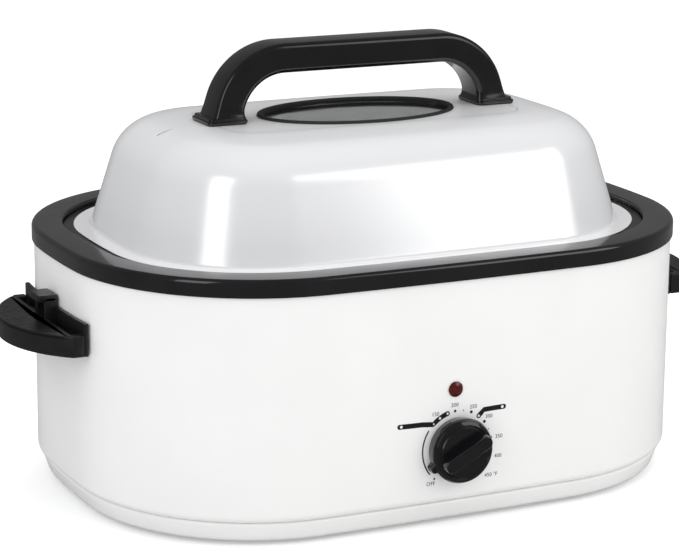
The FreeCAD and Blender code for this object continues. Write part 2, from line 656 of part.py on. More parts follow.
def make_shaft():
    """Control shaft with a flat, turning in the thermostat's neck."""
    body = new_body("control_shaft", front_place(dims.dial_place_x, dims.dial_height), FACING_FRONT)
    sketch = new_sketch(body, "shaft_sketch", level=-dims.shaft_in_thermostat)
    add_circle(sketch, "shaft", 0, 0, dims.shaft_radius)
    tip = dims.knob_gap + dims.knob_recess_depth + dims.shaft_in_knob - 0.5
    pad(body, "shaft", sketch, dims.shaft_in_thermostat + tip)
    flat = new_sketch(body, "shaft_flat_sketch", level=tip)
    near = dims.shaft_radius - dims.shaft_flat_depth
    add_polygon(flat, rectangle(-dims.shaft_radius - 1, dims.shaft_radius + 1, near, dims.shaft_radius + 1))
    pocket(body, "shaft_flat", flat, dims.shaft_in_knob)
    return body


def make_thermostat():
    """Thermostat behind the front wall, held by a nut on its threaded neck."""
    body = new_body("thermostat", front_place(dims.dial_place_x, dims.dial_height), FACING_FRONT)
    half = dims.thermostat_width / 2
    case = new_sketch(body, "thermostat_case_sketch", level=-dims.shell_thickness - dims.seat_gap)
    add_polygon(case, rectangle(-half, half, -half, half), {k: 4.0 for k in range(4)})
    item = pad(body, "thermostat_case", case, dims.thermostat_depth)
    item.Reversed = True
    neck = new_sketch(body, "thermostat_neck_sketch", level=-dims.shell_thickness - 2)
    add_circle(neck, "neck", 0, 0, dims.thermostat_neck_radius)
    pad(body, "thermostat_neck", neck, dims.neck_stand_out + dims.shell_thickness + 2)
    bore = new_sketch(body, "thermostat_bore_sketch", level=dims.neck_stand_out)
    add_circle(bore, "bore", 0, 0, dims.shaft_radius + dims.shaft_fit)
    pocket(body, "thermostat_bore", bore, dims.neck_stand_out + dims.shaft_in_thermostat + 1)
    return body


def make_thermostat_nut():
    body = new_body("thermostat_nut", front_place(dims.dial_place_x, dims.dial_height), FACING_FRONT)
    sketch = new_sketch(body, "nut_sketch", level=dims.seat_gap)
    across = dims.thermostat_nut_width / 2
    reach = across / math.cos(math.pi / 6)
    add_polygon(sketch, [(reach * math.cos(math.pi * k / 3), reach * math.sin(math.pi * k / 3) if k % 3 else 0)
                         for k in range(6)])
    add_circle(sketch, "hole", 0, 0, dims.thermostat_neck_radius + dims.push_clearance)
    pad(body, "nut", sketch, dims.thermostat_nut_height - dims.seat_gap)
    return body


def make_pilot():
    """Pilot light: domed lens with a flange, on a barrel through the wall, and its spring nut."""
    where = front_place(dims.pilot_place_x, dims.pilot_height)
    lens = new_body("pilot_lens", where, FACING_FRONT)
    flange, dome = dims.pilot_flange_height, dims.pilot_lens_height
    turned(lens, "lens", [
        (0, dims.seat_gap), (dims.pilot_lens_radius + 1.2, dims.seat_gap), (dims.pilot_lens_radius + 1.2, flange),
        (dims.pilot_lens_radius - 1, dome), (0, dome)], {3: length(1.5)})
    barrel = new_body("pilot_lamp", where, FACING_FRONT)
    sketch = new_sketch(barrel, "barrel_sketch", level=dims.seat_gap)
    add_circle(sketch, "barrel", 0, 0, dims.pilot_barrel_radius)
    item = pad(barrel, "barrel", sketch, dims.pilot_barrel_length)
    item.Reversed = True
    nut = new_body("pilot_clip", where, FACING_FRONT)
    ring = new_sketch(nut, "ring_sketch", level=-dims.shell_thickness - 2)
    add_circle(ring, "outer", 0, 0, dims.pilot_barrel_radius + 3)
    add_circle(ring, "inner", 0, 0, dims.pilot_barrel_radius + dims.push_clearance)
    pad(nut, "ring", ring, 2 - dims.seat_gap / 2)
    return [lens, barrel, nut]


# Back and wiring

def make_gland():
    """Bush for the supply cord in the back wall: flange outside, barrel through the wall, ring inside."""
    body = new_body("cord_gland", (dims.gland_place_x, plan_shift + shell_front, dims.gland_height), FACING_BACK)
    out, bore = dims.gland_proud, dims.gland_bore_radius
    back = -dims.shell_thickness - dims.gland_inner_length
    gap = dims.seat_gap + 2.4
    turned(body, "gland", [
        (bore, back), (dims.gland_radius, back), (dims.gland_radius, gap), (dims.gland_flange_radius, gap),
        (dims.gland_flange_radius - 1.5, out), (bore, out)], {4: length(1)})
    return body


def make_block():
    """Porcelain terminal block on the base floor."""
    body = new_body("terminal_block", (dims.block_place_x, plan_shift + dims.block_place_y, base_floor))
    half, deep = dims.block_length / 2, dims.block_depth / 2
    sketch = new_sketch(body, "block_sketch")
    add_polygon(sketch, rectangle(-half, half, -deep, deep), {k: 2.0 for k in range(4)})
    pad(body, "block", sketch, dims.block_height)
    step = dims.block_length / 3
    round_holes(body, "block_ports", [(step * k, dims.block_height / 2) for k in (-1, 0, 1)],
                dims.block_hole_radius, deep + 1, dims.block_depth + 2, "XZ_Plane")
    return body


def tube(label, points, radius):
    """A wire along straight runs joined by tangent arcs; each arc is as large as its two runs allow."""
    places = [vec(*point) for point in points]
    edges, radii = [], []
    here = places[0]
    for before, corner, after in zip(places[:-2], places[1:-1], places[2:]):
        one, two = before - corner, after - corner
        half = math.pi / 2 - one.getAngle(two) / 2
        reach = 0.45 * min(one.Length, two.Length)
        bend = reach / math.tan(half)
        radii.append(bend)
        start = corner + one.normalize() * reach
        end = corner + two.normalize() * reach
        middle_way = (one + two).normalize()
        centre = corner + middle_way * math.hypot(bend, reach)
        edges.append(Part.LineSegment(here, start).toShape())
        edges.append(Part.Arc(start, centre - middle_way * bend, end).toShape())
        here = end
    edges.append(Part.LineSegment(here, places[-1]).toShape())
    path = Part.Wire(edges)
    section = Part.Wire([Part.Circle(places[0], (places[1] - places[0]).normalize(), radius).toShape()])
    solid = path.makePipeShell([section], True, False)
    expected = math.pi * radius ** 2 * path.Length
    print("%s: %.0f mm, least bend %.1f mm, volume %.3f of expected" % (
        label, path.Length, min(radii), solid.Volume / expected))
    item = document.addObject("Part::Feature", label)
    item.Label = label
    item.Shape = solid
    place(item)
    return item


def make_wiring():
    """Leads inside the housing: block to thermostat, thermostat to heater, block to heater by the fuse."""
    low = base_floor.value + 6
    block_x, block_y = dims.block_place_x.value, dims.block_place_y.value
    port = dims.block_length.value / 3
    port_height = base_floor.value + dims.block_height.value / 2
    face = block_y - dims.block_depth.value / 2 - 0.3
    behind = shell_front.value - dims.shell_thickness.value - dims.thermostat_depth.value
    dial_x, dial_z = dims.dial_place_x.value, dims.dial_height.value
    case_foot = dial_z - dims.thermostat_width.value / 2
    wire = dims.lead_radius.value
    stud_x = dims.band_gap_width.value / 2 + 9
    stud_z = dims.band_foot.value + dims.band_height.value / 2
    stud_y = dims.rim_half_depth.value - band_inset.value + dims.stud_base_height.value + dims.stud_length.value
    lead_y = -behind - 4
    fuse_y, straight = dims.fuse_place_y.value, 9
    tube("lead_live", [
        (block_x - port, face, port_height), (block_x - port, face - 22, port_height),
        (block_x - port - 6, face - 50, low), (70, 30, low), (52, -40, low + 1), (34, -110, low),
        (16, lead_y + 20, low + 2), (dial_x + 8, lead_y, low + 10), (dial_x + 8, lead_y + 2, case_foot - 0.3)],
        wire)
    tube("lead_heater", [
        (dial_x - 8, lead_y + 2, case_foot - 0.3), (dial_x - 8, lead_y, low + 10), (-18, lead_y + 20, low + 2),
        (-34, -110, low), (-46, -50, low + 1), (-52, 20, low), (-50, 90, low), (-40, 150, low + 3),
        (-stud_x - 4, stud_y + 1, low + 22), (-stud_x, stud_y + 3, low + 58), (-stud_x, stud_y + 2.3, stud_z - 22),
        (-stud_x, stud_y + 2, stud_z)], wire)
    tube("lead_neutral", [
        (block_x, face, port_height), (block_x, face - 20, port_height), (block_x - 16, face - 44, low + 3),
        (block_x - 44, 70, low + 8), (fuse_end(1) + straight, fuse_y, fuse_level()),
        (fuse_end(1), fuse_y, fuse_level())], wire)
    tube("lead_fuse", [
        (fuse_end(-1), fuse_y, fuse_level()), (fuse_end(-1) - straight, fuse_y, fuse_level()),
        (-34, 68, low + 10), (-28, 104, low + 5),
        (0, 138, low + 4), (stud_x - 4, stud_y - 1, low + 22), (stud_x, stud_y + 3, low + 58),
        (stud_x, stud_y + 2.3, stud_z - 22), (stud_x, stud_y + 2, stud_z)], wire)


def fuse_level():
    return dims.liner_floor_height.value - dims.seat_gap.value - dims.fuse_radius.value


def fuse_end(sign):
    return sign * (dims.fuse_length.value / 2 + dims.seat_gap.value)


def make_fuse():
    """Thermal fuse under the liner's floor, and the strap that holds it there."""
    level = dims.liner_floor_height - dims.seat_gap - dims.fuse_radius
    fuse = document.addObject("Part::Cylinder", "thermal_fuse")
    fuse.Label = "thermal_fuse"
    bind(fuse, "Radius", dims.fuse_radius)
    bind(fuse, "Height", dims.fuse_length)
    place(fuse, (-dims.fuse_length / 2, plan_shift + dims.fuse_place_y, level),
          FreeCAD.Rotation(vec(0, 1, 0), 90))
    body = new_body("fuse_strap")
    sketch = new_sketch(body, "strap_sketch", "YZ_Plane")
    reach, thick = dims.fuse_radius + dims.seat_gap, dims.strap_thickness
    top, low = dims.liner_floor_height, level - reach
    mid = dims.fuse_place_y
    add_polygon(sketch, [
        (mid - reach - 9, top), (mid - reach - 9, top - thick), (mid - reach - thick, top - thick),
        (mid - reach - thick, low - thick), (mid + reach + thick, low - thick),
        (mid + reach + thick, top - thick), (mid + reach + 9, top - thick), (mid + reach + 9, top),
        (mid + reach, top), (mid + reach, low), (mid - reach, low), (mid - reach, top)])
    pad(body, "strap", sketch, dims.strap_width, midplane=True)
    return [fuse, body]


def make_sensor():
    """Thermostat's bulb against the liner, its two clips, and the thin tube to the thermostat."""
    bulb = document.addObject("Part::Cylinder", "sensor_bulb")
    bulb.Label = "sensor_bulb"
    bind(bulb, "Radius", dims.bulb_radius)
    bind(bulb, "Height", dims.bulb_length)
    across = dims.rim_half_depth - dims.liner_inset + dims.bulb_radius + dims.seat_gap
    start_x = dims.thermostat_width / 2 + 12
    place(bulb, (start_x, plan_shift - across - 0.6, dims.bulb_height), FreeCAD.Rotation(vec(0, 1, 0), 90))
    clips = new_body("sensor_clips")
    clips.AllowCompound = True
    reach, thick = dims.bulb_radius + dims.seat_gap, dims.strap_thickness
    near = -(dims.rim_half_depth - dims.liner_inset) - 0.9
    mid_y, mid = -across - 0.6, dims.bulb_height
    out = mid_y - reach
    for number, share in enumerate((0.2, 0.8)):
        sketch = new_sketch(clips, "clip%d_sketch" % number, "YZ_Plane", start_x + dims.bulb_length * share)
        add_polygon(sketch, [
            (near, mid - reach - 6), (near - thick, mid - reach - 6), (near - thick, mid - reach - thick),
            (out - thick, mid - reach - thick), (out - thick, mid + reach + thick),
            (near, mid + reach + thick), (near, mid + reach), (out, mid + reach),
            (out, mid - reach), (near, mid - reach)])
        pad(clips, "sensor_clip%d" % number, sketch, dims.strap_width, midplane=True)
    side = dims.dial_place_x.value + dims.thermostat_width.value / 2
    bulb_y, bulb_z = (-across - 0.6).value, dims.bulb_height.value
    deep = -(shell_front.value - dims.shell_thickness.value - dims.thermostat_depth.value / 2)
    tube("capillary_tube", [
        (side + 0.3, deep, dims.dial_height.value - 8), (side + 6, deep, dims.dial_height.value - 8),
        (side + 9, (deep + bulb_y) / 2, dims.dial_height.value - 7), (side + 8, bulb_y, bulb_z + 0.2),
        (start_x.value - 0.2, bulb_y, bulb_z)], dims.capillary_radius.value)
    return [bulb, clips]


# Side handles

def make_side_handle(label, turn):
    """Moulded handle: plate on the wall, hollow shelf, and a hook that holds the lid's edge."""
    body = new_body(label, CENTRED, turn)
    top, skirt = dims.handle_top, dims.handle_skirt
    low = top - skirt
    shift, half = dims.handle_shift, dims.handle_half_length
    chord, apex = dims.handle_chord, dims.handle_apex
    to_end = end_radius - dims.rim_half_length
    plate_in = end_radius - dims.shell_inset + dims.plate_gap

    plate = new_sketch(body, "plate_sketch", level=low)
    add_band(plate, to_end, plate_in, plate_in + dims.plate_thickness, shift - half, shift + half)
    pad(body, "plate", plate, dims.plate_top - low)

    bow = apex - chord
    bow_radius = (half * half + bow * bow) / (2 * bow)
    shelf = new_sketch(body, "shelf_sketch", level=low)
    add_bow(shelf, "shelf", chord, shift, half, apex, bow_radius)
    pad(body, "shelf", shelf, skirt)

    wall = dims.handle_wall
    hollow = new_sketch(body, "hollow_sketch", level=low)
    inner_bow = bow - 2 * wall
    inner_half = half - dims.handle_end_block
    add_bow(hollow, "hollow", chord + wall, shift, inner_half, apex - wall,
            (inner_half * inner_half + inner_bow * inner_bow) / (2 * inner_bow))
    pocket(body, "hollow", hollow, skirt - wall, reverse=True)

    web = new_sketch(body, "web_sketch", level=low)
    inside = dims.rim_half_length - dims.shell_inset - 3
    add_polygon(web, rectangle(-chord - 1, -inside, shift - half + 2, shift + half - 2))
    pad(body, "web", web, wall)
    ends = new_sketch(body, "ends_sketch", level=low)
    block = dims.handle_end_block
    for number, side in enumerate((-1, 1)):
        near, far = shift + side * (half - block), shift + side * (half - 0.5)
        add_polygon(ends, rectangle(-chord - 1, -inside, near, far), tag="e%d" % number)
    boss = dims.handle_boss_half
    spread = dims.handle_screw_spacing / 2
    pad(body, "ends", ends, skirt)
    bosses = new_sketch(body, "bosses_sketch", level=low)
    for number, side in enumerate((-1, 1)):
        mid = shift + side * spread
        add_polygon(bosses, rectangle(-chord - wall - 2, -inside, mid - boss, mid + boss), tag="b%d" % number)
    pad(body, "bosses", bosses, dims.handle_screw_height + boss - low)

    notch = new_sketch(body, "notch_sketch", level=top)
    add_polygon(notch, rectangle(-dims.notch_reach, -chord + 1, shift - dims.notch_half_width,
                                 shift + dims.notch_half_width))
    pocket(body, "notch", notch, skirt - wall)

    rib, width = dims.hook_rib, dims.hook_half_width
    ribs = new_sketch(body, "ribs_sketch", level=low)
    for number, side in enumerate((-1, 1)):
        add_polygon(ribs, rectangle(-dims.hook_rib_reach, -inside, shift + side * (width - rib),
                                    shift + side * width), tag="r%d" % number)
    pad(body, "ribs", ribs, dims.hook_top - dims.hook_cap / 2 - low)
    cap = new_sketch(body, "cap_sketch", level=dims.hook_top - dims.hook_cap)
    add_polygon(cap, rectangle(-dims.hook_reach, -inside, shift - width, shift + width),
                {k: 1.5 for k in range(4)})
    pad(body, "cap", cap, dims.hook_cap)

    trim = new_sketch(body, "wall_side_sketch", level=low - 1)
    add_band(trim, to_end, plate_in - 12, plate_in, shift - half - 5, shift + half + 5)
    pocket(body, "wall_side", trim, dims.hook_top - low + 2, reverse=True)
    round_holes(body, "screw_holes",
                [(shift + spread, dims.handle_screw_height), (shift - spread, dims.handle_screw_height)],
                dims.handle_screw_radius + dims.push_clearance, -dims.handle_chord - wall,
                wall + dims.plate_thickness + 20, "YZ_Plane", reverse=True)
    return body


def add_band(sketch, centre, inner, outer, low, high):
    """The strip between two arcs about (centre, 0), on the left, between two levels of Y."""
    def at(radius, y):
        return vec(centre.value - math.sqrt(radius.value ** 2 - y.value ** 2), y.value, 0)
    arcs = []
    for radius in (inner, outer):
        circle = Part.Circle(vec(centre.value, 0, 0), vec(0, 0, 1), radius.value)
        first = math.pi - math.asin(high.value / radius.value)
        last = math.pi - math.asin(low.value / radius.value)
        arcs.append(sketch.addGeometry(Part.ArcOfCircle(circle, first, last), False))
    top = sketch.addGeometry(Part.LineSegment(at(inner, high), at(outer, high)), False)
    foot = sketch.addGeometry(Part.LineSegment(at(inner, low), at(outer, low)), False)
    for line, end in ((top, START), (foot, END)):
        rule(sketch, "Coincident", arcs[0], end, line, START)
        rule(sketch, "Coincident", arcs[1], end, line, END)
        rule(sketch, "Horizontal", line)
    rule(sketch, "Coincident", arcs[0], CENTRE, arcs[1], CENTRE)
    fix_point(sketch, "middle", arcs[0], CENTRE, centre, 0)
    size_rule(sketch, "inner", "Radius", (arcs[0],), inner)
    size_rule(sketch, "outer", "Radius", (arcs[1],), outer)
    size_rule(sketch, "high", "DistanceY", (*ORIGIN_POINT, top, START), high)
    size_rule(sketch, "low", "DistanceY", (*ORIGIN_POINT, foot, START), low)


def add_bow(sketch, name, chord, middle, half, apex, radius):
    """A D shape: a straight chord along Y and an arc that reaches further out on the left."""
    centre = vec(-apex.value + radius.value, middle.value, 0)
    angle = math.asin(half.value / radius.value)
    if apex.value - chord.value > radius.value:
        angle = math.pi - angle
    circle = Part.Circle(centre, vec(0, 0, 1), radius.value)
    arc = sketch.addGeometry(Part.ArcOfCircle(circle, math.pi - angle, math.pi + angle), False)
    line = sketch.addGeometry(Part.LineSegment(vec(-chord.value, middle.value - half.value, 0),
                                               vec(-chord.value, middle.value + half.value, 0)), False)
    rule(sketch, "Coincident", arc, END, line, START)
    rule(sketch, "Coincident", arc, START, line, END)
    fix_point(sketch, name + "Low", line, START, -chord, middle - half)
    fix_point(sketch, name + "High", line, END, -chord, middle + half)
    size_rule(sketch, name + "R", "Radius", (arc,), radius)


def make_handle_screws():
    """Two screws for each side handle, with their heads inside the wall."""
    body = new_body("side_handle_screws")
    body.AllowCompound = True
    spread = dims.handle_screw_spacing / 2
    furthest = spread + dims.handle_shift + dims.handle_screw_head
    wall_curve = furthest * furthest / (2 * (end_radius - shell_inner))
    for side, sign in (("left", -1), ("right", 1)):
        shift = -sign * dims.handle_shift
        wall = sign * (shell_end - dims.shell_thickness - wall_curve - dims.handle_screw_gap)
        heads = new_sketch(body, side + "_heads_sketch", "YZ_Plane", wall)
        shanks = new_sketch(body, side + "_shanks_sketch", "YZ_Plane", wall)
        for number, y in enumerate((shift + spread, shift - spread)):
            add_circle(heads, "head%d" % number, y, dims.handle_screw_height, dims.handle_screw_head)
            add_circle(shanks, "shank%d" % number, y, dims.handle_screw_height, dims.handle_screw_radius)
        head = pad(body, side + "_heads", heads, dims.handle_screw_head_height)
        head.Reversed = sign > 0
        shank = pad(body, side + "_shanks", shanks, dims.shell_thickness + dims.plate_thickness + 9)
        shank.Reversed = sign < 0
    return body


# Roasting pan and rack

def make_pan():
    """Enamelled roasting pan: flange on the rim's shelf, drafted wall and flat floor."""
    body = new_body("roasting_pan")
    thick = dims.pan_thickness
    edge = dims.rim_flange_width + dims.pan_flange_gap
    wall, foot = dims.pan_wall_inset, dims.pan_wall_inset + dims.pan_draft
    plate = foot + 45
    swept(body, "pan_wall", [
        (edge, pan_flange_foot), (wall, pan_flange_foot), (foot, pan_floor), (plate, pan_floor),
        (plate, pan_inside_floor), (foot + thick, pan_inside_floor), (wall + thick, pan_flange_top),
        (edge, pan_flange_top)],
        {1: dims.pan_lip_round, 2: dims.pan_round, 5: dims.pan_round - thick, 6: dims.pan_lip_round + thick})
    outline_pad(body, "pan_floor", (plate - 5,), pan_floor, thick)
    return body


def half_chord(inset, x):
    """Half the depth of the outline at an inset, at a distance x from the middle."""
    corner = dims.corner_round.value - inset
    centre_x, centre_y, front, _ = side_angles(inset, corner)
    front_centre = front_radius.value - dims.rim_half_depth.value
    if abs(x) <= (front_radius.value - inset) * math.cos(front):
        return math.sqrt((front_radius.value - inset) ** 2 - x ** 2) - front_centre
    return -centre_y + math.sqrt(max(corner ** 2 - (abs(x) - centre_x) ** 2, 0))


def make_rack():
    """Welded wire rack: a frame, rods across it, two bearers, six feet and a lifting grip at each end."""
    wire, rod = dims.rack_wire_radius.value, dims.rack_rod_radius.value
    inset = dims.rack_inset.value
    level = pan_inside_floor.value + dims.seat_gap.value + dims.rack_leg_height.value + wire
    sketch = document.addObject("Sketcher::SketchObject", "rack_frame_path")
    add_outline(sketch, dims.rack_inset)
    document.recompute()
    path = Part.Wire(Part.__sortEdges__(sketch.Shape.Edges))
    path.translate(vec(0, 0, level))
    start = vec(0, inset - dims.rim_half_depth.value, level)
    ring = Part.Wire([Part.Circle(start, vec(1, 0, 0), wire).toShape()])
    solids = [path.makePipeShell([ring], True, False)]
    reach = dims.rim_half_length.value - inset
    count = int((2 * reach - 30) / dims.rack_pitch.value)
    for number in range(count + 1):
        x = (number - count / 2) * dims.rack_pitch.value
        half = half_chord(inset, x)
        solids.append(Part.makeCylinder(rod, 2 * half, vec(x, -half, level), vec(0, 1, 0)))
    bearer = dims.rim_half_depth.value * 0.3
    drop = level - rod - wire + 0.4
    for y in (-bearer, bearer):
        run = reach * 0.92
        solids.append(Part.makeCylinder(wire, 2 * run, vec(-run, y, drop), vec(1, 0, 0)))
    foot_level = pan_inside_floor.value + dims.seat_gap.value
    for x in (-reach * 0.75, 0, reach * 0.75):
        for y in (-bearer, bearer):
            solids.append(Part.makeCylinder(wire, drop - foot_level, vec(x, y, foot_level), vec(0, 0, 1)))
    span, tall = dims.rack_grip_half_width.value, dims.rack_grip_height.value
    for side in (-1, 1):
        x = side * (reach - 1.5)
        bend = 12.0
        corner_in = bend * (1 - math.sqrt(0.5))
        points = [vec(x, -span, level), vec(x, -span, level + tall - bend),
                  vec(x, -span + corner_in, level + tall - corner_in), vec(x, -span + bend, level + tall),
                  vec(x, span - bend, level + tall), vec(x, span - corner_in, level + tall - corner_in),
                  vec(x, span, level + tall - bend), vec(x, span, level)]
        grip = Part.Wire([
            Part.LineSegment(points[0], points[1]).toShape(), Part.Arc(*points[1:4]).toShape(),
            Part.LineSegment(points[3], points[4]).toShape(), Part.Arc(*points[4:7]).toShape(),
            Part.LineSegment(points[6], points[7]).toShape()])
        section = Part.Wire([Part.Circle(points[0], vec(0, 0, 1), wire).toShape()])
        solids.append(grip.makePipeShell([section], True, False))
    item = document.addObject("Part::Feature", "rack")
    item.Label = "rack"
    item.Shape = solids[0].fuse(solids[1:])
    place(item)
    return item


# Lid

def make_lid():
    """Pressed lid: flange on the pan, drafted wall, round shoulder, gentle crown and a window opening."""
    body = new_body("lid_dome")
    thick = dims.lid_thickness
    edge = dims.lid_flange_inset
    foot = edge + dims.lid_flange_width
    shoulder = edge + dims.lid_wall_top_inset
    crown = edge + dims.lid_crown_inset
    plate = edge + dims.lid_plate_inset
    top, under = dims.lid_top, lid_under
    lip = edge + dims.lid_lip_inset
    lean = 0.95 * thick
    swept(body, "lid_wall", [
        (edge, lid_flange_foot), (lip, lid_flange_foot), (lip, lid_flange_foot - dims.lid_lip_depth),
        (lip + thick, lid_flange_foot - dims.lid_lip_depth), (lip + thick, lid_flange_foot),
        (foot + lean, lid_flange_foot), (shoulder + lean, lid_shoulder_height - thick),
        (crown, under), (plate, under), (plate, top), (crown, top), (shoulder, lid_shoulder_height),
        (foot, lid_flange_top), (edge, lid_flange_top)],
        {6: dims.lid_shoulder_round - thick, 7: dims.lid_crown_round + thick, 10: dims.lid_crown_round,
         11: dims.lid_shoulder_round, 12: dims.lid_foot_round})
    outline_pad(body, "lid_plate", (plate - 6,), under, thick)
    hole = new_sketch(body, "window_hole_sketch", level=top)
    add_ellipse(hole, "hole", dims.window_half_length - dims.glass_bite, dims.window_half_depth - dims.glass_bite)
    pocket(body, "window_hole", hole, thick + 1)
    vent = new_sketch(body, "vent_sketch", level=top)
    half = dims.vent_length / 2
    add_polygon(vent, rectangle(dims.vent_place_x - half, dims.vent_place_x + half,
                                dims.vent_place_y - dims.vent_width / 2, dims.vent_place_y + dims.vent_width / 2),
                {k: dims.vent_width * 0.45 for k in range(4)})
    pocket(body, "vent", vent, length(20))
    round_holes(body, "grip_holes", [(grip_leg(), 0), (-grip_leg(), 0)],
                dims.grip_screw_radius + dims.screw_clearance, top, thick + 1)
    return body


def grip_leg():
    """Distance from the middle to the centre of the lid handle's leg."""
    return dims.grip_centre + dims.grip_outer_round - dims.grip_section / 2


def oval_ring(body, name, outer, inner, level, height):
    """A ring between two ellipses, given as distances in from the window's edge."""
    sketch = new_sketch(body, name + "_sketch", level=level)
    for number, inset in enumerate((outer, inner)):
        if inset is not None:
            add_ellipse(sketch, "oval%d" % number, dims.window_half_length - inset,
                        dims.window_half_depth - inset)
    return pad(body, name, sketch, height)


def make_window():
    """Toughened glass, and the rubber gasket that grips both the lid's edge and the glass."""
    glass = new_body("window_glass")
    level = lid_under - dims.glass_thickness - dims.gasket_lip / 2
    hold = dims.glass_bite + 0.6
    oval_ring(glass, "glass", dims.gasket_width - dims.glass_bite / 2, None, level, dims.glass_thickness)
    gasket = new_body("window_gasket")
    zero, wide = length(0), dims.gasket_width
    oval_ring(gasket, "top_lip", zero, wide, dims.lid_top + 0.05, dims.gasket_stand)
    oval_ring(gasket, "waist", hold, wide, level - dims.gasket_lip,
              dims.lid_top + 1 - level + dims.gasket_lip)
    oval_ring(gasket, "low_lip", zero, wide, level - dims.gasket_lip,
              lid_under - 0.05 - level + dims.gasket_lip)
    groove = new_sketch(gasket, "groove_sketch", level=level + dims.glass_thickness + 0.05)
    add_ellipse(groove, "groove", dims.window_half_length - dims.gasket_width + dims.glass_bite / 2 + 0.05,
                dims.window_half_depth - dims.gasket_width + dims.glass_bite / 2 + 0.05)
    pocket(gasket, "groove", groove, dims.glass_thickness + 0.1)
    return [glass, gasket]


def make_lid_handle():
    """Arched grip: a rectangular bar with rounded edges on two legs, each with a flared foot."""
    body = new_body("lid_handle")
    outer, section = dims.grip_outer_round, dims.grip_section
    leg_out = dims.grip_centre + outer
    leg_in = leg_out - section
    foot = dims.lid_top + dims.grip_gasket
    bend = foot + 1
    top = bend + outer
    arch = new_sketch(body, "arch_sketch", "XZ_Plane")
    add_polygon(arch, [
        (-leg_out, foot), (-leg_out, top), (leg_out, top), (leg_out, foot), (leg_in, foot),
        (leg_in, top - section), (-leg_in, top - section), (-leg_in, foot)],
        {1: outer, 2: outer, 5: outer - section, 6: outer - section})
    pad(body, "arch", arch, dims.grip_width, midplane=True)
    side = dims.grip_width.value / 2

    def long_edge(edge):
        box = edge.BoundBox
        return (abs(abs(box.YMin) - side) < 0.01 and box.YLength < 0.01
                and not (box.ZLength < 0.01 and abs(box.ZMin - foot.value) < 0.01))
    round_edges(body, "arch_rounds", dims.grip_edge_round, long_edge)
    pads = new_sketch(body, "grip_pads_sketch", level=foot)
    for number, sign in enumerate((-1, 1)):
        near, far = sign * dims.grip_pad_inner, sign * dims.grip_pad_outer
        add_polygon(pads, rectangle(near, far, -dims.grip_pad_half, dims.grip_pad_half),
                    {k: 4.0 for k in range(4)}, tag="pad%d" % number)
    pad(body, "grip_pads", pads, dims.grip_pad_height)
    round_holes(body, "grip_bores", [(grip_leg(), 0), (-grip_leg(), 0)],
                dims.grip_screw_radius + dims.push_clearance, foot, dims.grip_screw_length, reverse=True)
    return body


def make_lid_hardware():
    """Gaskets under the lid handle's feet, and the washers and screws inside the lid."""
    made = []
    leg = grip_leg()
    rows = (
        ("lid_handle_gaskets", dims.lid_top, dims.grip_gasket, None,
         dims.grip_screw_radius + dims.screw_clearance),
        ("lid_washers", lid_under - dims.washer_thickness, dims.washer_thickness, dims.washer_radius,
         dims.grip_screw_radius + dims.screw_clearance),
        ("lid_handle_screws", lid_under - dims.washer_thickness - dims.grip_screw_head_height,
         dims.grip_screw_head_height, dims.grip_screw_head, None),
    )
    for label, level, height, radius, bore in rows:
        body = new_body(label)
        body.AllowCompound = True
        sketch = new_sketch(body, label + "_sketch", level=level)
        for number, sign in enumerate((-1, 1)):
            if radius is None:
                add_polygon(sketch, rectangle(sign * (dims.grip_pad_inner + 1), sign * (dims.grip_pad_outer - 1),
                                              1 - dims.grip_pad_half, dims.grip_pad_half - 1),
                            {k: 3.0 for k in range(4)}, tag="pad%d" % number)
            else:
                add_circle(sketch, "disc%d" % number, sign * leg, 0, radius)
            if bore is not None:
                add_circle(sketch, "bore%d" % number, sign * leg, 0, bore)
        pad(body, label + "_pad", sketch, height)
        made.append(body)
    shank = new_sketch(made[-1], "grip_shanks_sketch", level=lid_under - dims.washer_thickness)
    for number, sign in enumerate((-1, 1)):
        add_circle(shank, "shank%d" % number, sign * leg, 0, dims.grip_screw_radius)
    pad(made[-1], "grip_shanks", shank, dims.grip_screw_length)
    return made


make_outer_shell()
make_base_pan()
make_feet()
make_rim_ring()
make_liner()
make_blanket()
make_heater_band()
make_heater_studs()
make_brackets()
make_base_screws()
make_knob()
make_knob_clip()
make_shaft()
make_thermostat()
make_thermostat_nut()
make_pilot()
make_gland()
make_block()
make_fuse()
make_wiring()
make_sensor()
make_side_handle("side_handle_left", None)
make_side_handle("side_handle_right", HALF_TURN)
make_handle_screws()
make_pan()
make_rack()
make_lid()
make_window()
make_lid_handle()
make_lid_hardware()

# Check every object, then write one file for each sub-part

document.recompute()
for item in document.Objects:
    if "Invalid" in item.State or "Error" in item.State:
        raise RuntimeError("%s failed: %s" % (item.Label, item.State))

SUB_PART_TYPES = ("PartDesign::Body", "Part::Feature", "Part::Cylinder")
sub_parts = [item for item in document.Objects if item.TypeId in SUB_PART_TYPES]
for item in sub_parts:
    shape = item.Shape
    if shape.isNull() or not shape.isValid() or not shape.Solids:
        raise RuntimeError("%s has no sound solid" % item.Label)
for item in sub_parts:
    item.Shape.exportStep("parts/%s.step" % item.Label)
    box = item.Shape.BoundBox
    print("%-22s %2d solid, %9.0f mm3, x %.1f to %.1f, y %.1f to %.1f, z %.1f to %.1f" % (
        item.Label, len(item.Shape.Solids), item.Shape.Volume,
        box.XMin, box.XMax, box.YMin, box.YMax, box.ZMin, box.ZMax))
print("%d sub-parts" % len(sub_parts))
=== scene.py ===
import math

import bmesh
import bpy
import numpy as np
from mathutils import Matrix, Vector


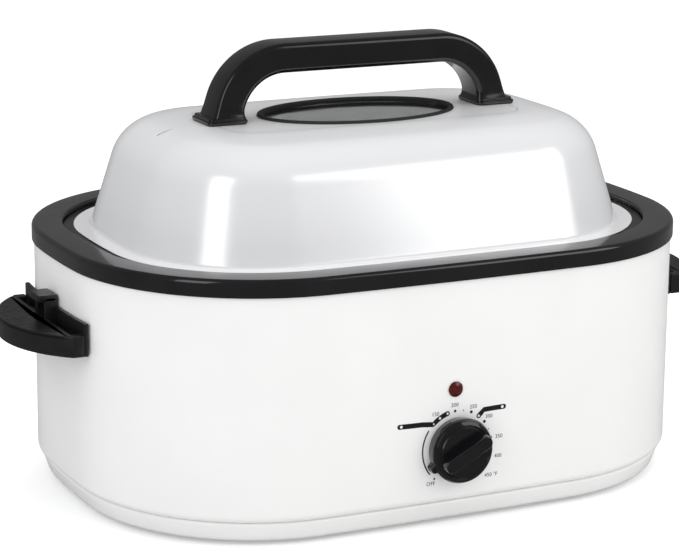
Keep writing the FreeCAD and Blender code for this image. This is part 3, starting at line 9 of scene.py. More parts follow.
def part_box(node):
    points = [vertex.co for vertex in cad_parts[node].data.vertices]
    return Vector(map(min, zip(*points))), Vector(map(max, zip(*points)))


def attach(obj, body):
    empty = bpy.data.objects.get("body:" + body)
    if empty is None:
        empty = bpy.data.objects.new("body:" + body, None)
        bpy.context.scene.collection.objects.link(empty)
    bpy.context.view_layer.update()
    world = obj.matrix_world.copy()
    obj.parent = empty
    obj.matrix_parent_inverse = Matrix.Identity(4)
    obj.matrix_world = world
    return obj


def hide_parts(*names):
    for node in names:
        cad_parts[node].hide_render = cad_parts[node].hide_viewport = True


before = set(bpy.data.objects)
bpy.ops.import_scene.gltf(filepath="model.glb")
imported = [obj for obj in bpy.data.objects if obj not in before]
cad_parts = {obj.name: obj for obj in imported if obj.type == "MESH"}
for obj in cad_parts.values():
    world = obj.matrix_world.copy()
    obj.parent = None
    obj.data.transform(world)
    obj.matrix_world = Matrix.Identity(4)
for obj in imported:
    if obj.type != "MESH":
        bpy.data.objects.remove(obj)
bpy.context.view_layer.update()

bl_info = {
    "name": "Electric Roaster Oven",
    "version": (1, 0, 0),
    "blender": (4, 5, 0),
    "location": "View3D > Sidebar > Roaster",
    "description": "Dresses the packed roaster oven: enamel, paint, glass, moulded handles and dial",
    "category": "Object",
}

MM = 0.001
RIM_LOW, RIM_HIGH = (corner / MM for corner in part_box("rim_ring"))
LID_LOW, LID_HIGH = (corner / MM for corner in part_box("lid_dome"))
HALF_LENGTH = (RIM_HIGH.x - RIM_LOW.x) / 2
HALF_DEPTH = (RIM_HIGH.y - RIM_LOW.y) / 2
CENTRE_Y = (RIM_HIGH.y + RIM_LOW.y) / 2
RIM_TOP, LID_TOP = RIM_HIGH.z, LID_HIGH.z

# The photograph's frame, and where its optical axis meets it, in its own pixels
PHOTO_WIDTH, PHOTO_HEIGHT = 679, 550
AXIS_X, AXIS_Y = 341.1, 273.8
SENSOR_WIDTH = 36.0


def size(name, about, default, **more):
    return bpy.props.FloatProperty(name=name, description=about, default=default, **more)


def colour(name, about, default):
    return bpy.props.FloatVectorProperty(
        name=name, description=about, default=default, size=3, min=0, max=1, subtype="COLOR")


class RoasterSizes(bpy.types.PropertyGroup):
    """Sizes of the pressed and moulded forms, in millimetres."""
    front_bow: size("Front bow", "How far the front wall bows out at its middle", 9.0)
    end_bow: size("End bow", "How far the end walls bow out at their middle", 24.0)
    corner_round: size("Corner radius", "Radius of the rim's corners seen from above", 165.0)
    sheet: size("Sheet", "Thickness of the painted steel", 1.0, min=0.3)
    rim_band: size("Rim band", "Height of the black rim's outer band", 15.0)
    rim_flange: size("Rim flange", "Width of the black rim's flat top", 27.0)
    rim_roll: size("Rim roll", "Radius of the black rim's outer edge", 4.0)
    lid_shoulder: size("Lid shoulder", "Radius where the lid's wall turns into its top", 44.0)
    lid_crown: size("Lid crown", "Radius where the lid's top turns flat", 150.0)
    window_length: size("Window length", "Half the window's length over its gasket", 92.0)
    window_depth: size("Window depth", "Half the window's depth over its gasket", 57.5)
    knob_radius: size("Knob radius", "Radius of the knob's skirt", 28.0)
    dial_radius: size("Dial radius", "Radius of the circle of dots round the knob", 32.1)
    number_height: size("Number size", "Type size of the dial's numbers", 4.7)


class RoasterColours(bpy.types.PropertyGroup):
    """Base colours of the main finishes, linear."""
    body: colour("Body paint", "Warm white paint of the housing", (0.87, 0.865, 0.855))
    lid: colour("Lid paint", "Cooler white paint of the lid", (0.91, 0.915, 0.925))
    rim: colour("Rim enamel", "Black enamel of the rim", (0.006, 0.006, 0.007))
    handle: colour("Handle", "Dark moulded plastic of the side handles", (0.009, 0.009, 0.010))
    grip: colour("Lid handle", "Black moulded plastic of the lid handle and knob", (0.005, 0.005, 0.006))
    lens: colour("Pilot lens", "Dark red of the unlit pilot light", (0.11, 0.008, 0.006))
    ink: colour("Dial ink", "Black print on the housing", (0.008, 0.008, 0.008))


class RoasterSettings(bpy.types.PropertyGroup):
    sizes: bpy.props.PointerProperty(type=RoasterSizes, name="Sizes", description="Sizes in mm")
    colours: bpy.props.PointerProperty(type=RoasterColours, name="Colours", description="Base colours")


def sizes():
    return bpy.context.scene.roaster.sizes


def colours():
    return bpy.context.scene.roaster.colours


# Shapes. A shell is (points, quads, caps) in mm, about the middle of the plan

OUTLINE_STEPS = 420


def rim_outline(count=OUTLINE_STEPS):
    """The rim's plan outline and its outward normals.

    Four side arcs and four corner arcs, all tangent. A point is the arc's centre plus its radius
    times the normal (cos a, sin a), so the outline drawn in by an inset is the point less the inset
    times the normal.
    """
    form = sizes()
    front = (HALF_LENGTH ** 2 + form.front_bow ** 2) / (2 * form.front_bow)
    end = (HALF_DEPTH ** 2 + form.end_bow ** 2) / (2 * form.end_bow)
    to_front, to_end = front - HALF_DEPTH, end - HALF_LENGTH
    near, far = front - form.corner_round, end - form.corner_round
    between = math.hypot(to_front, to_end)
    along = (near ** 2 - far ** 2 + between ** 2) / (2 * between)
    across = math.sqrt(near ** 2 - along ** 2)
    x = (-along * to_end + across * to_front) / between
    y = to_front + (-along * to_front - across * to_end) / between
    one, two = math.atan2(y - to_front, x), math.atan2(y, x + to_end)
    half = math.pi
    arcs = (
        (0, to_front, front, -half - one, one), (x, y, form.corner_round, one, two),
        (-to_end, 0, end, two, -two), (x, -y, form.corner_round, -two, -one),
        (0, -to_front, front, -one, half + one), (-x, -y, form.corner_round, half + one, half + two),
        (to_end, 0, end, half + two, half - two), (-x, y, form.corner_round, half - two, half - one),
    )
    whole = sum(radius * (last - first) for _, _, radius, first, last in arcs)
    points, normals = [], []
    for middle_x, middle_y, radius, first, last in arcs:
        steps = round(count * radius * (last - first) / whole)
        angle = np.linspace(first, last, steps, endpoint=False)
        normal = np.stack([np.cos(angle), np.sin(angle)], axis=1)
        points.append(np.array([middle_x, middle_y]) + radius * normal)
        normals.append(normal)
    return np.concatenate(points), np.concatenate(normals)


def front_wall(x, inset):
    """Y of the front wall at x: the front arc's circle, drawn in by the inset."""
    bow = sizes().front_bow
    radius = (HALF_LENGTH ** 2 + bow ** 2) / (2 * bow)
    return radius - HALF_DEPTH - np.sqrt((radius - inset) ** 2 - np.asarray(x, float) ** 2)


def end_wall(y, inset):
    """X of the left end wall at y, likewise."""
    bow = sizes().end_bow
    radius = (HALF_DEPTH ** 2 + bow ** 2) / (2 * bow)
    return radius - HALF_LENGTH - np.sqrt((radius - inset) ** 2 - np.asarray(y, float) ** 2)


def filleted(corners, radii, steps=6):
    """A closed outline through corners, each rounded to its radius: points and outward normals.

    An arc's centre lies on the corner's bisector, radius / sin(half the angle) away, and its ends
    lie radius / tan(half the angle) along the two sides. A nearly straight corner stays one point,
    whose normal is long enough to keep the sides parallel.
    """
    corners = np.asarray(corners, float)
    radii = np.broadcast_to(np.asarray(radii, float), len(corners))
    following = np.roll(corners, -1, axis=0)
    if np.sum(corners[:, 0] * following[:, 1] - following[:, 0] * corners[:, 1]) < 0:
        corners, radii = corners[::-1], radii[::-1]
        following = np.roll(corners, -1, axis=0)
    back = np.roll(corners, 1, axis=0) - corners
    ahead = following - corners
    back /= np.linalg.norm(back, axis=1, keepdims=True)
    ahead /= np.linalg.norm(ahead, axis=1, keepdims=True)
    half = np.arccos(np.clip(np.sum(back * ahead, axis=1), -1, 1)) / 2
    straight = half > math.pi / 2 - math.radians(6)
    lean = 1 / np.sin(half)
    half = np.where(straight, math.pi / 4, half)
    bisector = back + ahead
    bisector /= np.maximum(np.linalg.norm(bisector, axis=1, keepdims=True), 1e-9)
    centre = corners + bisector * (radii / np.sin(half))[:, None]
    reach = (radii / np.tan(half))[:, None]
    first, last = corners + back * reach - centre, corners + ahead * reach - centre
    start = np.arctan2(first[:, 1], first[:, 0])
    sweep = np.arctan2(last[:, 1], last[:, 0]) - start
    sweep = (sweep + math.pi) % (2 * math.pi) - math.pi
    share = np.linspace(0, 1, steps + 1)
    angle = start[:, None] + sweep[:, None] * share
    normal = np.stack([np.cos(angle), np.sin(angle)], axis=2)
    points = centre[:, None, :] + radii[:, None, None] * normal
    normal = normal * np.sign(sweep)[:, None, None]
    side = np.stack([ahead[:, 1] - back[:, 1], back[:, 0] - ahead[:, 0]], axis=1)
    side *= (lean / np.linalg.norm(side, axis=1))[:, None]
    points[straight] = corners[straight][:, None, :]
    normal[straight] = side[straight][:, None, :]
    keep = np.ones(points.shape[:2], bool)
    keep[straight, 1:] = False
    return points[keep], normal[keep]


def skin(grid, round_rows=True, round_columns=True, caps=(False, False)):
    """Quads between neighbours of a grid of points; caps close its first and last column."""
    rows, columns = grid.shape[:2]
    index = np.arange(rows * columns).reshape(rows, columns)
    closed = [index[::-1, 0]] * caps[0] + [index[:, -1]] * caps[1]
    if round_rows:
        index = np.vstack([index, index[:1]])
    if round_columns:
        index = np.hstack([index, index[:, :1]])
    quads = np.stack([index[:-1, :-1], index[1:, :-1], index[1:, 1:], index[:-1, 1:]], axis=2).reshape(-1, 4)
    return outward(grid.reshape(-1, 3), quads, closed)


def outward(points, quads, caps):
    """Turns all faces round where the volume they enclose, summed over fans, comes out negative."""
    volume = 0.0
    for face in [quads] + [cap[None, :] for cap in caps]:
        first = points[face[:, 0]]
        for k in range(1, face.shape[1] - 1):
            volume += np.sum(first * np.cross(points[face[:, k]], points[face[:, k + 1]]))
    if volume < 0:
        return points, quads[:, ::-1], [cap[::-1] for cap in caps]
    return points, quads, caps


def carried(profile, outline, closed=True, caps=(False, False)):
    """A profile of (inset, height) carried round an outline: point less inset times normal, at height."""
    points, normals = outline
    profile = np.asarray(profile, float)
    flat = points[:, None, :] - profile[None, :, :1] * normals[:, None, :]
    height = np.broadcast_to(profile[:, 1], flat.shape[:2])
    return skin(np.concatenate([flat, height[..., None]], axis=2), round_columns=closed, caps=caps)


def slab(outline, low, high, edge, foot_edge=None, draft=0.0, steps=4):
    """A plate of an outline, with a quarter round at its foot and at its top.

    At angle t the round's inset is edge (1 - sin t) and its height edge (1 - cos t) from the face.
    One more ring inside each round keeps the flat faces flat in the shading.
    """
    foot_edge = edge if foot_edge is None else foot_edge
    t = np.linspace(0, math.pi / 2, steps + 1)
    rings = [(foot_edge + 0.3, low)]
    rings += list(zip(foot_edge * (1 - np.sin(t)), low + foot_edge * (1 - np.cos(t))))
    rings += list(zip(edge * (1 - np.sin(t)), high - edge * (1 - np.cos(t))))[::-1]
    rings += [(edge + 0.3, high)]
    profile = np.array(rings)
    profile[:, 0] += draft * (profile[:, 1] - low)
    return carried(profile, outline, closed=False, caps=(True, True))


def plate(corners, radii, low, high, edge, foot_edge=None, draft=0.0, steps=4):
    """A slab through corners, none of them sharper than its rounded edges allow."""
    least = max(edge, foot_edge or 0) + 0.35
    return slab(filleted(corners, np.maximum(radii, least), 6), low, high, edge, foot_edge, draft, steps)


def turned(profile, steps=72, closed=False):
    """A profile of (radius, height) turned about Z; an open one is capped at both ends."""
    angle = np.linspace(0, 2 * math.pi, steps, endpoint=False)
    radius, height = np.asarray(profile, float).T
    grid = np.stack([np.cos(angle)[:, None] * radius, np.sin(angle)[:, None] * radius,
                     np.broadcast_to(height, (steps, len(height)))], axis=2)
    return skin(grid, round_columns=closed, caps=(not closed, not closed))


def tube(path, radius, sides=14, closed=False):
    """A round wire along a path of points.

    The frame at each point is carried on from the last: its normal less the part along the tangent.
    """
    path = np.asarray(path, float)
    if closed:
        tangent = np.roll(path, -1, axis=0) - np.roll(path, 1, axis=0)
    else:
        tangent = np.gradient(path, axis=0)
    tangent /= np.linalg.norm(tangent, axis=1, keepdims=True)
    side = np.cross(tangent[0], (0.0, 0.0, 1.0) if abs(tangent[0][2]) < 0.9 else (0.0, 1.0, 0.0))
    frames = np.empty_like(path)
    for number, along in enumerate(tangent):
        side = side - along * np.dot(side, along)
        side = side / np.linalg.norm(side)
        frames[number] = side
    other = np.cross(tangent, frames)
    angle = np.linspace(0, 2 * math.pi, sides, endpoint=False)
    grid = (path[None] + radius * (np.cos(angle)[:, None, None] * frames[None]
                                   + np.sin(angle)[:, None, None] * other[None]))
    return skin(grid, round_columns=closed, caps=(not closed, not closed))


def moved(shell, basis=None, origin=(0, 0, 0)):
    """A shell in another frame: basis holds the images of X, Y and Z as rows."""
    points, quads, caps = shell
    if basis is not None:
        points = points @ np.asarray(basis, float)
    return outward(points + np.asarray(origin, float), quads, caps)


def arc(centre, radius, first, last, steps=12):
    """Points (x, y) of an arc between two angles in degrees."""
    angle = np.radians(np.linspace(first, last, steps + 1))
    return np.array(centre, float) + radius * np.stack([np.cos(angle), np.sin(angle)], axis=1)


def ellipse(half_x, half_y, steps=200):
    """An ellipse (a cos t, b sin t) with its normals (b cos t, a sin t), made unit length."""
    t = np.linspace(0, 2 * math.pi, steps, endpoint=False)
    normal = np.stack([half_y * np.cos(t), half_x * np.sin(t)], axis=1)
    normal /= np.linalg.norm(normal, axis=1, keepdims=True)
    return np.stack([half_x * np.cos(t), half_y * np.sin(t)], axis=1), normal


def new_piece(name, shells, finish_name, body, replaces=(), crease=35, centred=True):
    """One mesh object made of shells, dressed and put on its body."""
    points, faces, start = [], [], 0
    for own, quads, caps in shells:
        points.append(own)
        faces += (quads + start).tolist() + [(cap + start).tolist() for cap in caps]
        start += len(own)
    points = np.concatenate(points) + ((0, CENTRE_Y, 0) if centred else (0, 0, 0))
    mesh = bpy.data.meshes.new(name)
    mesh.from_pydata((points * MM).tolist(), [], faces)
    mesh.polygons.foreach_set("use_smooth", [True] * len(mesh.polygons))
    mesh.update()
    mesh.set_sharp_from_angle(angle=math.radians(crease))
    mesh.materials.append(finish(finish_name))
    piece = bpy.data.objects.new(name, mesh)
    bpy.context.scene.collection.objects.link(piece)
    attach(piece, body)
    if replaces:
        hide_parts(*replaces)
    return piece


# Out of the front: X stays, the shape's Y points up and its Z points at the viewer
FACING_FRONT = ((1, 0, 0), (0, 0, 1), (0, -1, 0))
FACING_BACK = ((-1, 0, 0), (0, 0, 1), (0, 1, 0))


# Finishes

FINISHES = {}


def a_finish(maker):
    """Keeps a function that makes a material under its name."""
    FINISHES[maker.__name__] = maker
    return maker


def finish(name):
    """The material of that name, made when it is first asked for."""
    return bpy.data.materials.get(name) or FINISHES[name](name)


class Nodes:
    """A Principled material, with short ways to add and link its nodes."""

    def __init__(self, name, base, roughness, **sockets):
        self.material = bpy.data.materials.new(name)
        self.material.use_nodes = True
        self.material.diffuse_color = (*base, 1)
        self.tree = self.material.node_tree
        self.shader = self.tree.nodes["Principled BSDF"]
        self.base = tuple(base)
        self.set(self.shader, {"Base Color": (*base, 1), "Roughness": roughness, **sockets})
        self.place = self.add("ShaderNodeTexCoord").outputs["Object"]

    def set(self, node, values):
        for socket, value in values.items():
            if isinstance(value, bpy.types.NodeSocket):
                self.tree.links.new(value, node.inputs[socket])
            else:
                node.inputs[socket].default_value = value

    def add(self, kind, values=None, **settings):
        node = self.tree.nodes.new(kind)
        for key, value in settings.items():
            setattr(node, key, value)
        self.set(node, values or {})
        return node

    def noise(self, scale, detail=2.0, stretch=None, rough=0.5):
        """Noise over the object, its scale in features per metre."""
        where = self.place
        if stretch:
            where = self.add("ShaderNodeMapping", {"Vector": where, "Scale": stretch}).outputs[0]
        return self.add("ShaderNodeTexNoise", {
            "Vector": where, "Scale": scale, "Detail": detail, "Roughness": rough}).outputs["Fac"]

    def between(self, factor, low, high, at=(0.35, 0.65)):
        """A value that runs from low to high as the factor crosses its middle."""
        return self.add("ShaderNodeMapRange", {
            "Value": factor, "From Min": at[0], "From Max": at[1], "To Min": low, "To Max": high}).outputs[0]

    def blend(self, factor, one, two):
        """A colour between two."""
        node = self.add("ShaderNodeMix", data_type="RGBA")
        node.inputs[0].default_value = 0.5
        self.tree.links.new(factor, node.inputs[0])
        for socket, value in ((node.inputs[6], one), (node.inputs[7], two)):
            if isinstance(value, bpy.types.NodeSocket):
                self.tree.links.new(value, socket)
            else:
                socket.default_value = (*value, 1)
        return node.outputs[2]

    def shade(self, amount, scale, detail=2.0):
        """Lets the base colour drift darker and lighter by an amount."""
        dark = tuple(channel * (1 - amount) for channel in self.base)
        light = tuple(min(channel * (1 + amount), 1.0) for channel in self.base)
        factor = self.between(self.noise(scale, detail), 0.0, 1.0)
        self.set(self.shader, {"Base Color": self.blend(factor, dark, light)})

    def rough(self, low, high, scale, detail=3.0):
        self.set(self.shader, {"Roughness": self.between(self.noise(scale, detail), low, high)})

    def bump(self, *layers):
        """Bumps of (height factor, depth in mm), one upon the other."""
        normal = None
        for height, depth in layers:
            values = {"Height": height, "Strength": 1.0, "Distance": depth * MM}
            if normal:
                values["Normal"] = normal
            normal = self.add("ShaderNodeBump", values).outputs[0]
        self.set(self.shader, {"Normal": normal})

    def spots(self, scale, low, high):
        """1 inside small round spots of a Voronoi pattern, 0 outside."""
        cell = self.add("ShaderNodeTexVoronoi", {"Vector": self.place, "Scale": scale, "Randomness": 1.0})
        return self.between(cell.outputs["Distance"], 1.0, 0.0, (low, high))


def enamel_paint(name, base):
    """Baked white paint: clear gloss, faint orange peel, and a drift of tone too weak to see as spots."""
    paint = Nodes(name, base, 0.42, **{"Coat Weight": 0.22, "Coat Roughness": 0.11, "Specular IOR Level": 0.35})
    paint.shade(0.012, 14, 3)
    paint.rough(0.38, 0.46, 60)
    paint.bump((paint.noise(420, 1.5), 0.018), (paint.noise(90, 1), 0.03))
    return paint.material


@a_finish
def housing_paint(name):
    return enamel_paint(name, colours().body)


@a_finish
def lid_paint(name):
    return enamel_paint(name, colours().lid)


@a_finish
def rim_enamel(name):
    """Black enamel: deep gloss over a faint ripple."""
    enamel = Nodes(name, colours().rim, 0.16, **{"Coat Weight": 0.6, "Coat Roughness": 0.04})
    enamel.shade(0.2, 30)
    enamel.rough(0.13, 0.22, 45)
    enamel.bump((enamel.noise(300, 2), 0.012), (enamel.noise(60, 1), 0.03))
    return enamel.material


@a_finish
def pan_enamel(name):
    """Black pan enamel with fine pale specks."""
    enamel = Nodes(name, (0.010, 0.010, 0.012), 0.2, **{"Coat Weight": 0.4, "Coat Roughness": 0.06})
    specks = enamel.spots(520, 0.10, 0.17)
    enamel.set(enamel.shader, {"Base Color": enamel.blend(specks, enamel.base, (0.22, 0.22, 0.23))})
    enamel.rough(0.17, 0.28, 60)
    enamel.bump((enamel.noise(350, 2), 0.015))
    return enamel.material


@a_finish
def handle_plastic(name):
    """Dark phenolic of the side handles: satin gloss with a very fine moulded grain."""
    plastic = Nodes(name, colours().handle, 0.34, **{"Specular IOR Level": 0.5})
    plastic.shade(0.15, 90, 4)
    plastic.rough(0.28, 0.42, 220, 4)
    plastic.bump((plastic.noise(1800, 2), 0.008), (plastic.noise(120, 1), 0.02))
    return plastic.material


@a_finish
def grip_plastic(name):
    """Polished black phenolic of the lid handle and the knob."""
    plastic = Nodes(name, colours().grip, 0.14, **{"Coat Weight": 0.35, "Coat Roughness": 0.05})
    plastic.shade(0.15, 60, 3)
    plastic.rough(0.1, 0.2, 90)
    plastic.bump((plastic.noise(700, 2), 0.006), (plastic.noise(70, 1), 0.02))
    return plastic.material


@a_finish
def gasket_rubber(name):
    rubber = Nodes(name, (0.007, 0.007, 0.007), 0.45)
    rubber.shade(0.25, 150, 4)
    rubber.rough(0.38, 0.55, 200)
    rubber.bump((rubber.noise(1500, 3), 0.012))
    return rubber.material


@a_finish
def foot_rubber(name):
    rubber = Nodes(name, (0.016, 0.016, 0.016), 0.7)
    rubber.shade(0.3, 200, 4)
    rubber.rough(0.6, 0.82, 300)
    rubber.bump((rubber.noise(2200, 3), 0.02))
    return rubber.material


@a_finish
def window_glass(name):
    """Toughened glass: clear, faintly green, with the slightest roller wave."""
    glass = Nodes(name, (0.93, 0.96, 0.945), 0.02, **{"Transmission Weight": 1.0, "IOR": 1.5})
    glass.bump((glass.noise(14, 1, (1.0, 3.0, 1.0)), 0.05))
    return glass.material


@a_finish
def pilot_red(name):
    """Dark red lens, unlit: half clear, with fine facets under its dome."""
    lens = Nodes(name, colours().lens, 0.12, **{
        "Transmission Weight": 0.35, "IOR": 1.49, "Coat Weight": 0.5, "Coat Roughness": 0.03})
    lens.shade(0.35, 600, 2)
    lens.bump((lens.spots(900, 0.05, 0.6), 0.05))
    return lens.material


@a_finish
def dial_ink(name):
    ink = Nodes(name, colours().ink, 0.5)
    ink.shade(0.3, 900, 3)
    ink.rough(0.42, 0.6, 700)
    ink.bump((ink.noise(3000, 2), 0.004))
    return ink.material


@a_finish
def dial_white(name):
    ink = Nodes(name, (0.82, 0.82, 0.81), 0.5)
    ink.shade(0.03, 900, 3)
    ink.rough(0.42, 0.6, 700)
    ink.bump((ink.noise(3000, 2), 0.004))
    return ink.material


@a_finish
def chrome_wire(name):
    wire = Nodes(name, (0.62, 0.62, 0.63), 0.16, **{"Metallic": 1.0})
    wire.shade(0.08, 80, 3)
    wire.rough(0.1, 0.26, 150, 4)
    wire.bump((wire.noise(600, 3), 0.01))
    return wire.material


@a_finish
def aluminised_steel(name):
    """Aluminised sheet: a soft spangle and lengthwise roll marks."""
    steel = Nodes(name, (0.52, 0.53, 0.54), 0.36, **{"Metallic": 1.0})
    cells = steel.add("ShaderNodeTexVoronoi", {"Vector": steel.place, "Scale": 150.0})
    steel.set(steel.shader, {"Base Color": steel.blend(
        steel.between(cells.outputs["Distance"], 0.0, 1.0, (0.1, 0.7)), (0.46, 0.47, 0.48), (0.58, 0.59, 0.60))})
    steel.rough(0.3, 0.46, 120)
    steel.bump((steel.noise(60, 3, (1.0, 1.0, 25.0)), 0.01))
    return steel.material


@a_finish
def zinc_steel(name):
    steel = Nodes(name, (0.44, 0.45, 0.47), 0.34, **{"Metallic": 1.0})
    steel.shade(0.15, 220, 3)
    steel.rough(0.26, 0.46, 260, 4)
    steel.bump((steel.noise(900, 3), 0.012))
    return steel.material


@a_finish
def spring_steel(name):
    steel = Nodes(name, (0.24, 0.25, 0.28), 0.3, **{"Metallic": 1.0})
    steel.shade(0.2, 300, 3)
    steel.rough(0.22, 0.4, 300)
    steel.bump((steel.noise(500, 3, (1.0, 8.0, 1.0)), 0.006))
    return steel.material


@a_finish
def brass(name):
    metal = Nodes(name, (0.62, 0.44, 0.17), 0.28, **{"Metallic": 1.0})
    metal.shade(0.15, 260, 3)
    metal.rough(0.2, 0.4, 300)
    metal.bump((metal.noise(700, 3), 0.008))
    return metal.material


@a_finish
def copper(name):
    metal = Nodes(name, (0.70, 0.30, 0.17), 0.3, **{"Metallic": 1.0})
    metal.shade(0.15, 260, 3)
    metal.rough(0.22, 0.42, 300)
    metal.bump((metal.noise(700, 3), 0.008))
    return metal.material


@a_finish
def glass_fibre(name):
    """Pale fibre blanket: matted strands over soft lumps."""
    fibre = Nodes(name, (0.78, 0.72, 0.56), 0.9, **{"Sheen Weight": 0.4, "Sheen Roughness": 0.6})
    fibre.shade(0.12, 120, 5)
    fibre.bump((fibre.noise(900, 5, (1.0, 1.0, 4.0)), 0.3), (fibre.noise(60, 2), 0.8))
    return fibre.material


@a_finish
def mica(name):
    """Mica band: flaky, brown and half glossy."""
    flakes = Nodes(name, (0.30, 0.21, 0.12), 0.4, **{"Metallic": 0.3})
    flakes.shade(0.3, 240, 4)
    flakes.rough(0.28, 0.6, 300)
    flakes.bump((flakes.spots(400, 0.1, 0.6), 0.03))
    return flakes.material


@a_finish
def porcelain(name):
    glaze = Nodes(name, (0.80, 0.77, 0.70), 0.25, **{"Coat Weight": 0.3})
    glaze.shade(0.05, 150, 3)
    glaze.rough(0.2, 0.34, 180)
    glaze.bump((glaze.noise(500, 2), 0.02))
    return glaze.material


@a_finish
def moulded_black(name):
    plastic = Nodes(name, (0.014, 0.014, 0.015), 0.4)
    plastic.shade(0.2, 150, 3)
    plastic.rough(0.34, 0.5, 240)
    plastic.bump((plastic.noise(1400, 2), 0.012))
    return plastic.material


def sleeve(name, base):
    """Insulated lead: a woven glass sleeve over the wire."""
    lead = Nodes(name, base, 0.55)
    weave = lead.add("ShaderNodeTexWave", {"Vector": lead.place, "Scale": 500.0, "Distortion": 3.0})
    lead.shade(0.15, 400, 3)
    lead.rough(0.48, 0.66, 500)
    lead.bump((weave.outputs["Fac"], 0.04))
    return lead.material


@a_finish
def lead_black(name):
    return sleeve(name, (0.012, 0.012, 0.012))


@a_finish
def lead_red(name):
    return sleeve(name, (0.30, 0.022, 0.016))


@a_finish
def lead_white(name):
    return sleeve(name, (0.66, 0.65, 0.61))


# Operators, one for each piece or group of like pieces

class ROASTER_OT_stage(bpy.types.Operator):
    """Floor, lamps, world and the camera at the photograph's viewing angle"""
    bl_idname = "roaster.stage"
    bl_label = "Stage"

    # The camera, solved from the object's own outlines in the photograph
    azimuth, elevation, roll = -25.93, 13.98, 0.52
    distance, focal_pixels = 2286.0, 2524.0
    side_step, target_height = -11.8, 166.0
    # Strength of the surroundings: on diffuse surfaces, and as glossy surfaces mirror them
    ambient, in_gloss = 0.9, 0.17

    def execute(self, context):
        self.make_camera(context)
        self.make_world(context)
        self.make_floor(context)
        for name, place, power, width, depth, tint, mirrored in (
                ("key_softbox", (1350, -1500, 1250), 8.5, 1.3, 1.3, (1.0, 1.0, 0.99), True),
                ("side_softbox", (-1500, -900, 900), 4.6, 0.6, 1.4, (0.98, 0.99, 1.0), True),
                ("top_softbox", (100, -100, 1800), 9.0, 1.9, 1.2, (1.0, 1.0, 1.0), False),
                ("back_softbox", (400, 1500, 1100), 4.0, 1.6, 0.6, (1.0, 1.0, 1.0), False)):
            self.make_lamp(context, name, place, power, width, depth, tint, mirrored)
        scene = context.scene
        scene.view_settings.view_transform = "Standard"
        return {"FINISHED"}

    def make_camera(self, context):
        a, e, r = (math.radians(value) for value in (self.azimuth, self.elevation, self.roll))
        back = Vector((math.sin(a) * math.cos(e), -math.cos(a) * math.cos(e), math.sin(e)))
        right = (-back).cross(Vector((0, 0, 1))).normalized()
        up = right.cross(-back)
        spot = right * self.side_step + up * self.target_height + back * self.distance
        turned_right = right * math.cos(r) + up * math.sin(r)
        turned_up = up * math.cos(r) - right * math.sin(r)
        lens = bpy.data.cameras.new("camera")
        lens.sensor_width = SENSOR_WIDTH
        lens.lens = self.focal_pixels / PHOTO_WIDTH * SENSOR_WIDTH
        lens.shift_x = (PHOTO_WIDTH / 2 - AXIS_X) / PHOTO_WIDTH
        lens.shift_y = (AXIS_Y - PHOTO_HEIGHT / 2) / PHOTO_WIDTH
        lens.clip_start, lens.clip_end = 0.05, 60
        camera = bpy.data.objects.new("camera", lens)
        turn = Matrix((turned_right, turned_up, back)).transposed()
        camera.matrix_world = Matrix.Translation((spot + Vector((0, CENTRE_Y, 0))) * MM) @ turn.to_4x4()
        context.scene.collection.objects.link(camera)
        context.scene.camera = camera

    def make_world(self, context):
        """White to the camera and through glass; a plainer grey to light the rest and to shine in gloss."""
        world = bpy.data.worlds.new("studio")
        world.use_nodes = True
        tree = world.node_tree
        tree.nodes.clear()
        rays = tree.nodes.new("ShaderNodeLightPath")
        shader = None
        for strength, ray in ((self.ambient, None), (self.in_gloss, rays.outputs["Is Glossy Ray"]),
                              (1.0, self.seen_directly(tree, rays))):
            glow = tree.nodes.new("ShaderNodeBackground")
            glow.inputs["Color"].default_value = (0.985, 0.99, 1.0, 1) if strength < 1 else (1, 1, 1, 1)
            glow.inputs["Strength"].default_value = strength
            shader = self.chosen(tree, ray, shader, glow)
        tree.links.new(shader.outputs[0], tree.nodes.new("ShaderNodeOutputWorld").inputs[0])
        context.scene.world = world

    def chosen(self, tree, ray, usual, special):
        """The special shader where the ray's flag is set, the usual one elsewhere."""
        if usual is None:
            return special
        mix = tree.nodes.new("ShaderNodeMixShader")
        tree.links.new(ray, mix.inputs[0])
        tree.links.new(usual.outputs[0], mix.inputs[1])
        tree.links.new(special.outputs[0], mix.inputs[2])
        return mix

    def seen_directly(self, tree, rays):
        """1 for camera and transmission rays."""
        value = rays.outputs["Is Camera Ray"]
        node = tree.nodes.new("ShaderNodeMath")
        node.operation = "MAXIMUM"
        tree.links.new(value, node.inputs[0])
        tree.links.new(rays.outputs["Is Transmission Ray"], node.inputs[1])
        return node.outputs[0]

    def make_floor(self, context):
        """A white sweep: its own glow tops up what the lamps give, so its shadows stay."""
        reach = 30000.0
        corners = np.array([(-reach, -reach, 0), (reach, -reach, 0), (reach, reach, 0), (-reach, reach, 0)])
        mesh = bpy.data.meshes.new("floor")
        mesh.from_pydata((corners * MM).tolist(), [], [(0, 1, 2, 3)])
        floor = bpy.data.objects.new("floor", mesh)
        context.scene.collection.objects.link(floor)
        pale = Nodes("floor_white", (0.82, 0.82, 0.82), 0.8, **{"Specular IOR Level": 0.1})
        pale.shade(0.004, 3)
        rays = pale.add("ShaderNodeLightPath")
        seen = self.seen_directly(pale.tree, rays)
        glow = pale.add("ShaderNodeEmission", {"Color": (1, 1, 1, 1), "Strength": 0.3})
        dim = pale.add("ShaderNodeEmission", {"Color": (1, 1, 1, 1), "Strength": self.in_gloss})
        both = pale.add("ShaderNodeAddShader")
        pale.tree.links.new(pale.shader.outputs[0], both.inputs[0])
        pale.tree.links.new(glow.outputs[0], both.inputs[1])
        choice = self.chosen(pale.tree, rays.outputs["Is Glossy Ray"], pale.shader, dim)
        choice = self.chosen(pale.tree, seen, choice, both)
        pale.tree.links.new(choice.outputs[0], pale.tree.nodes["Material Output"].inputs[0])
        mesh.materials.append(pale.material)

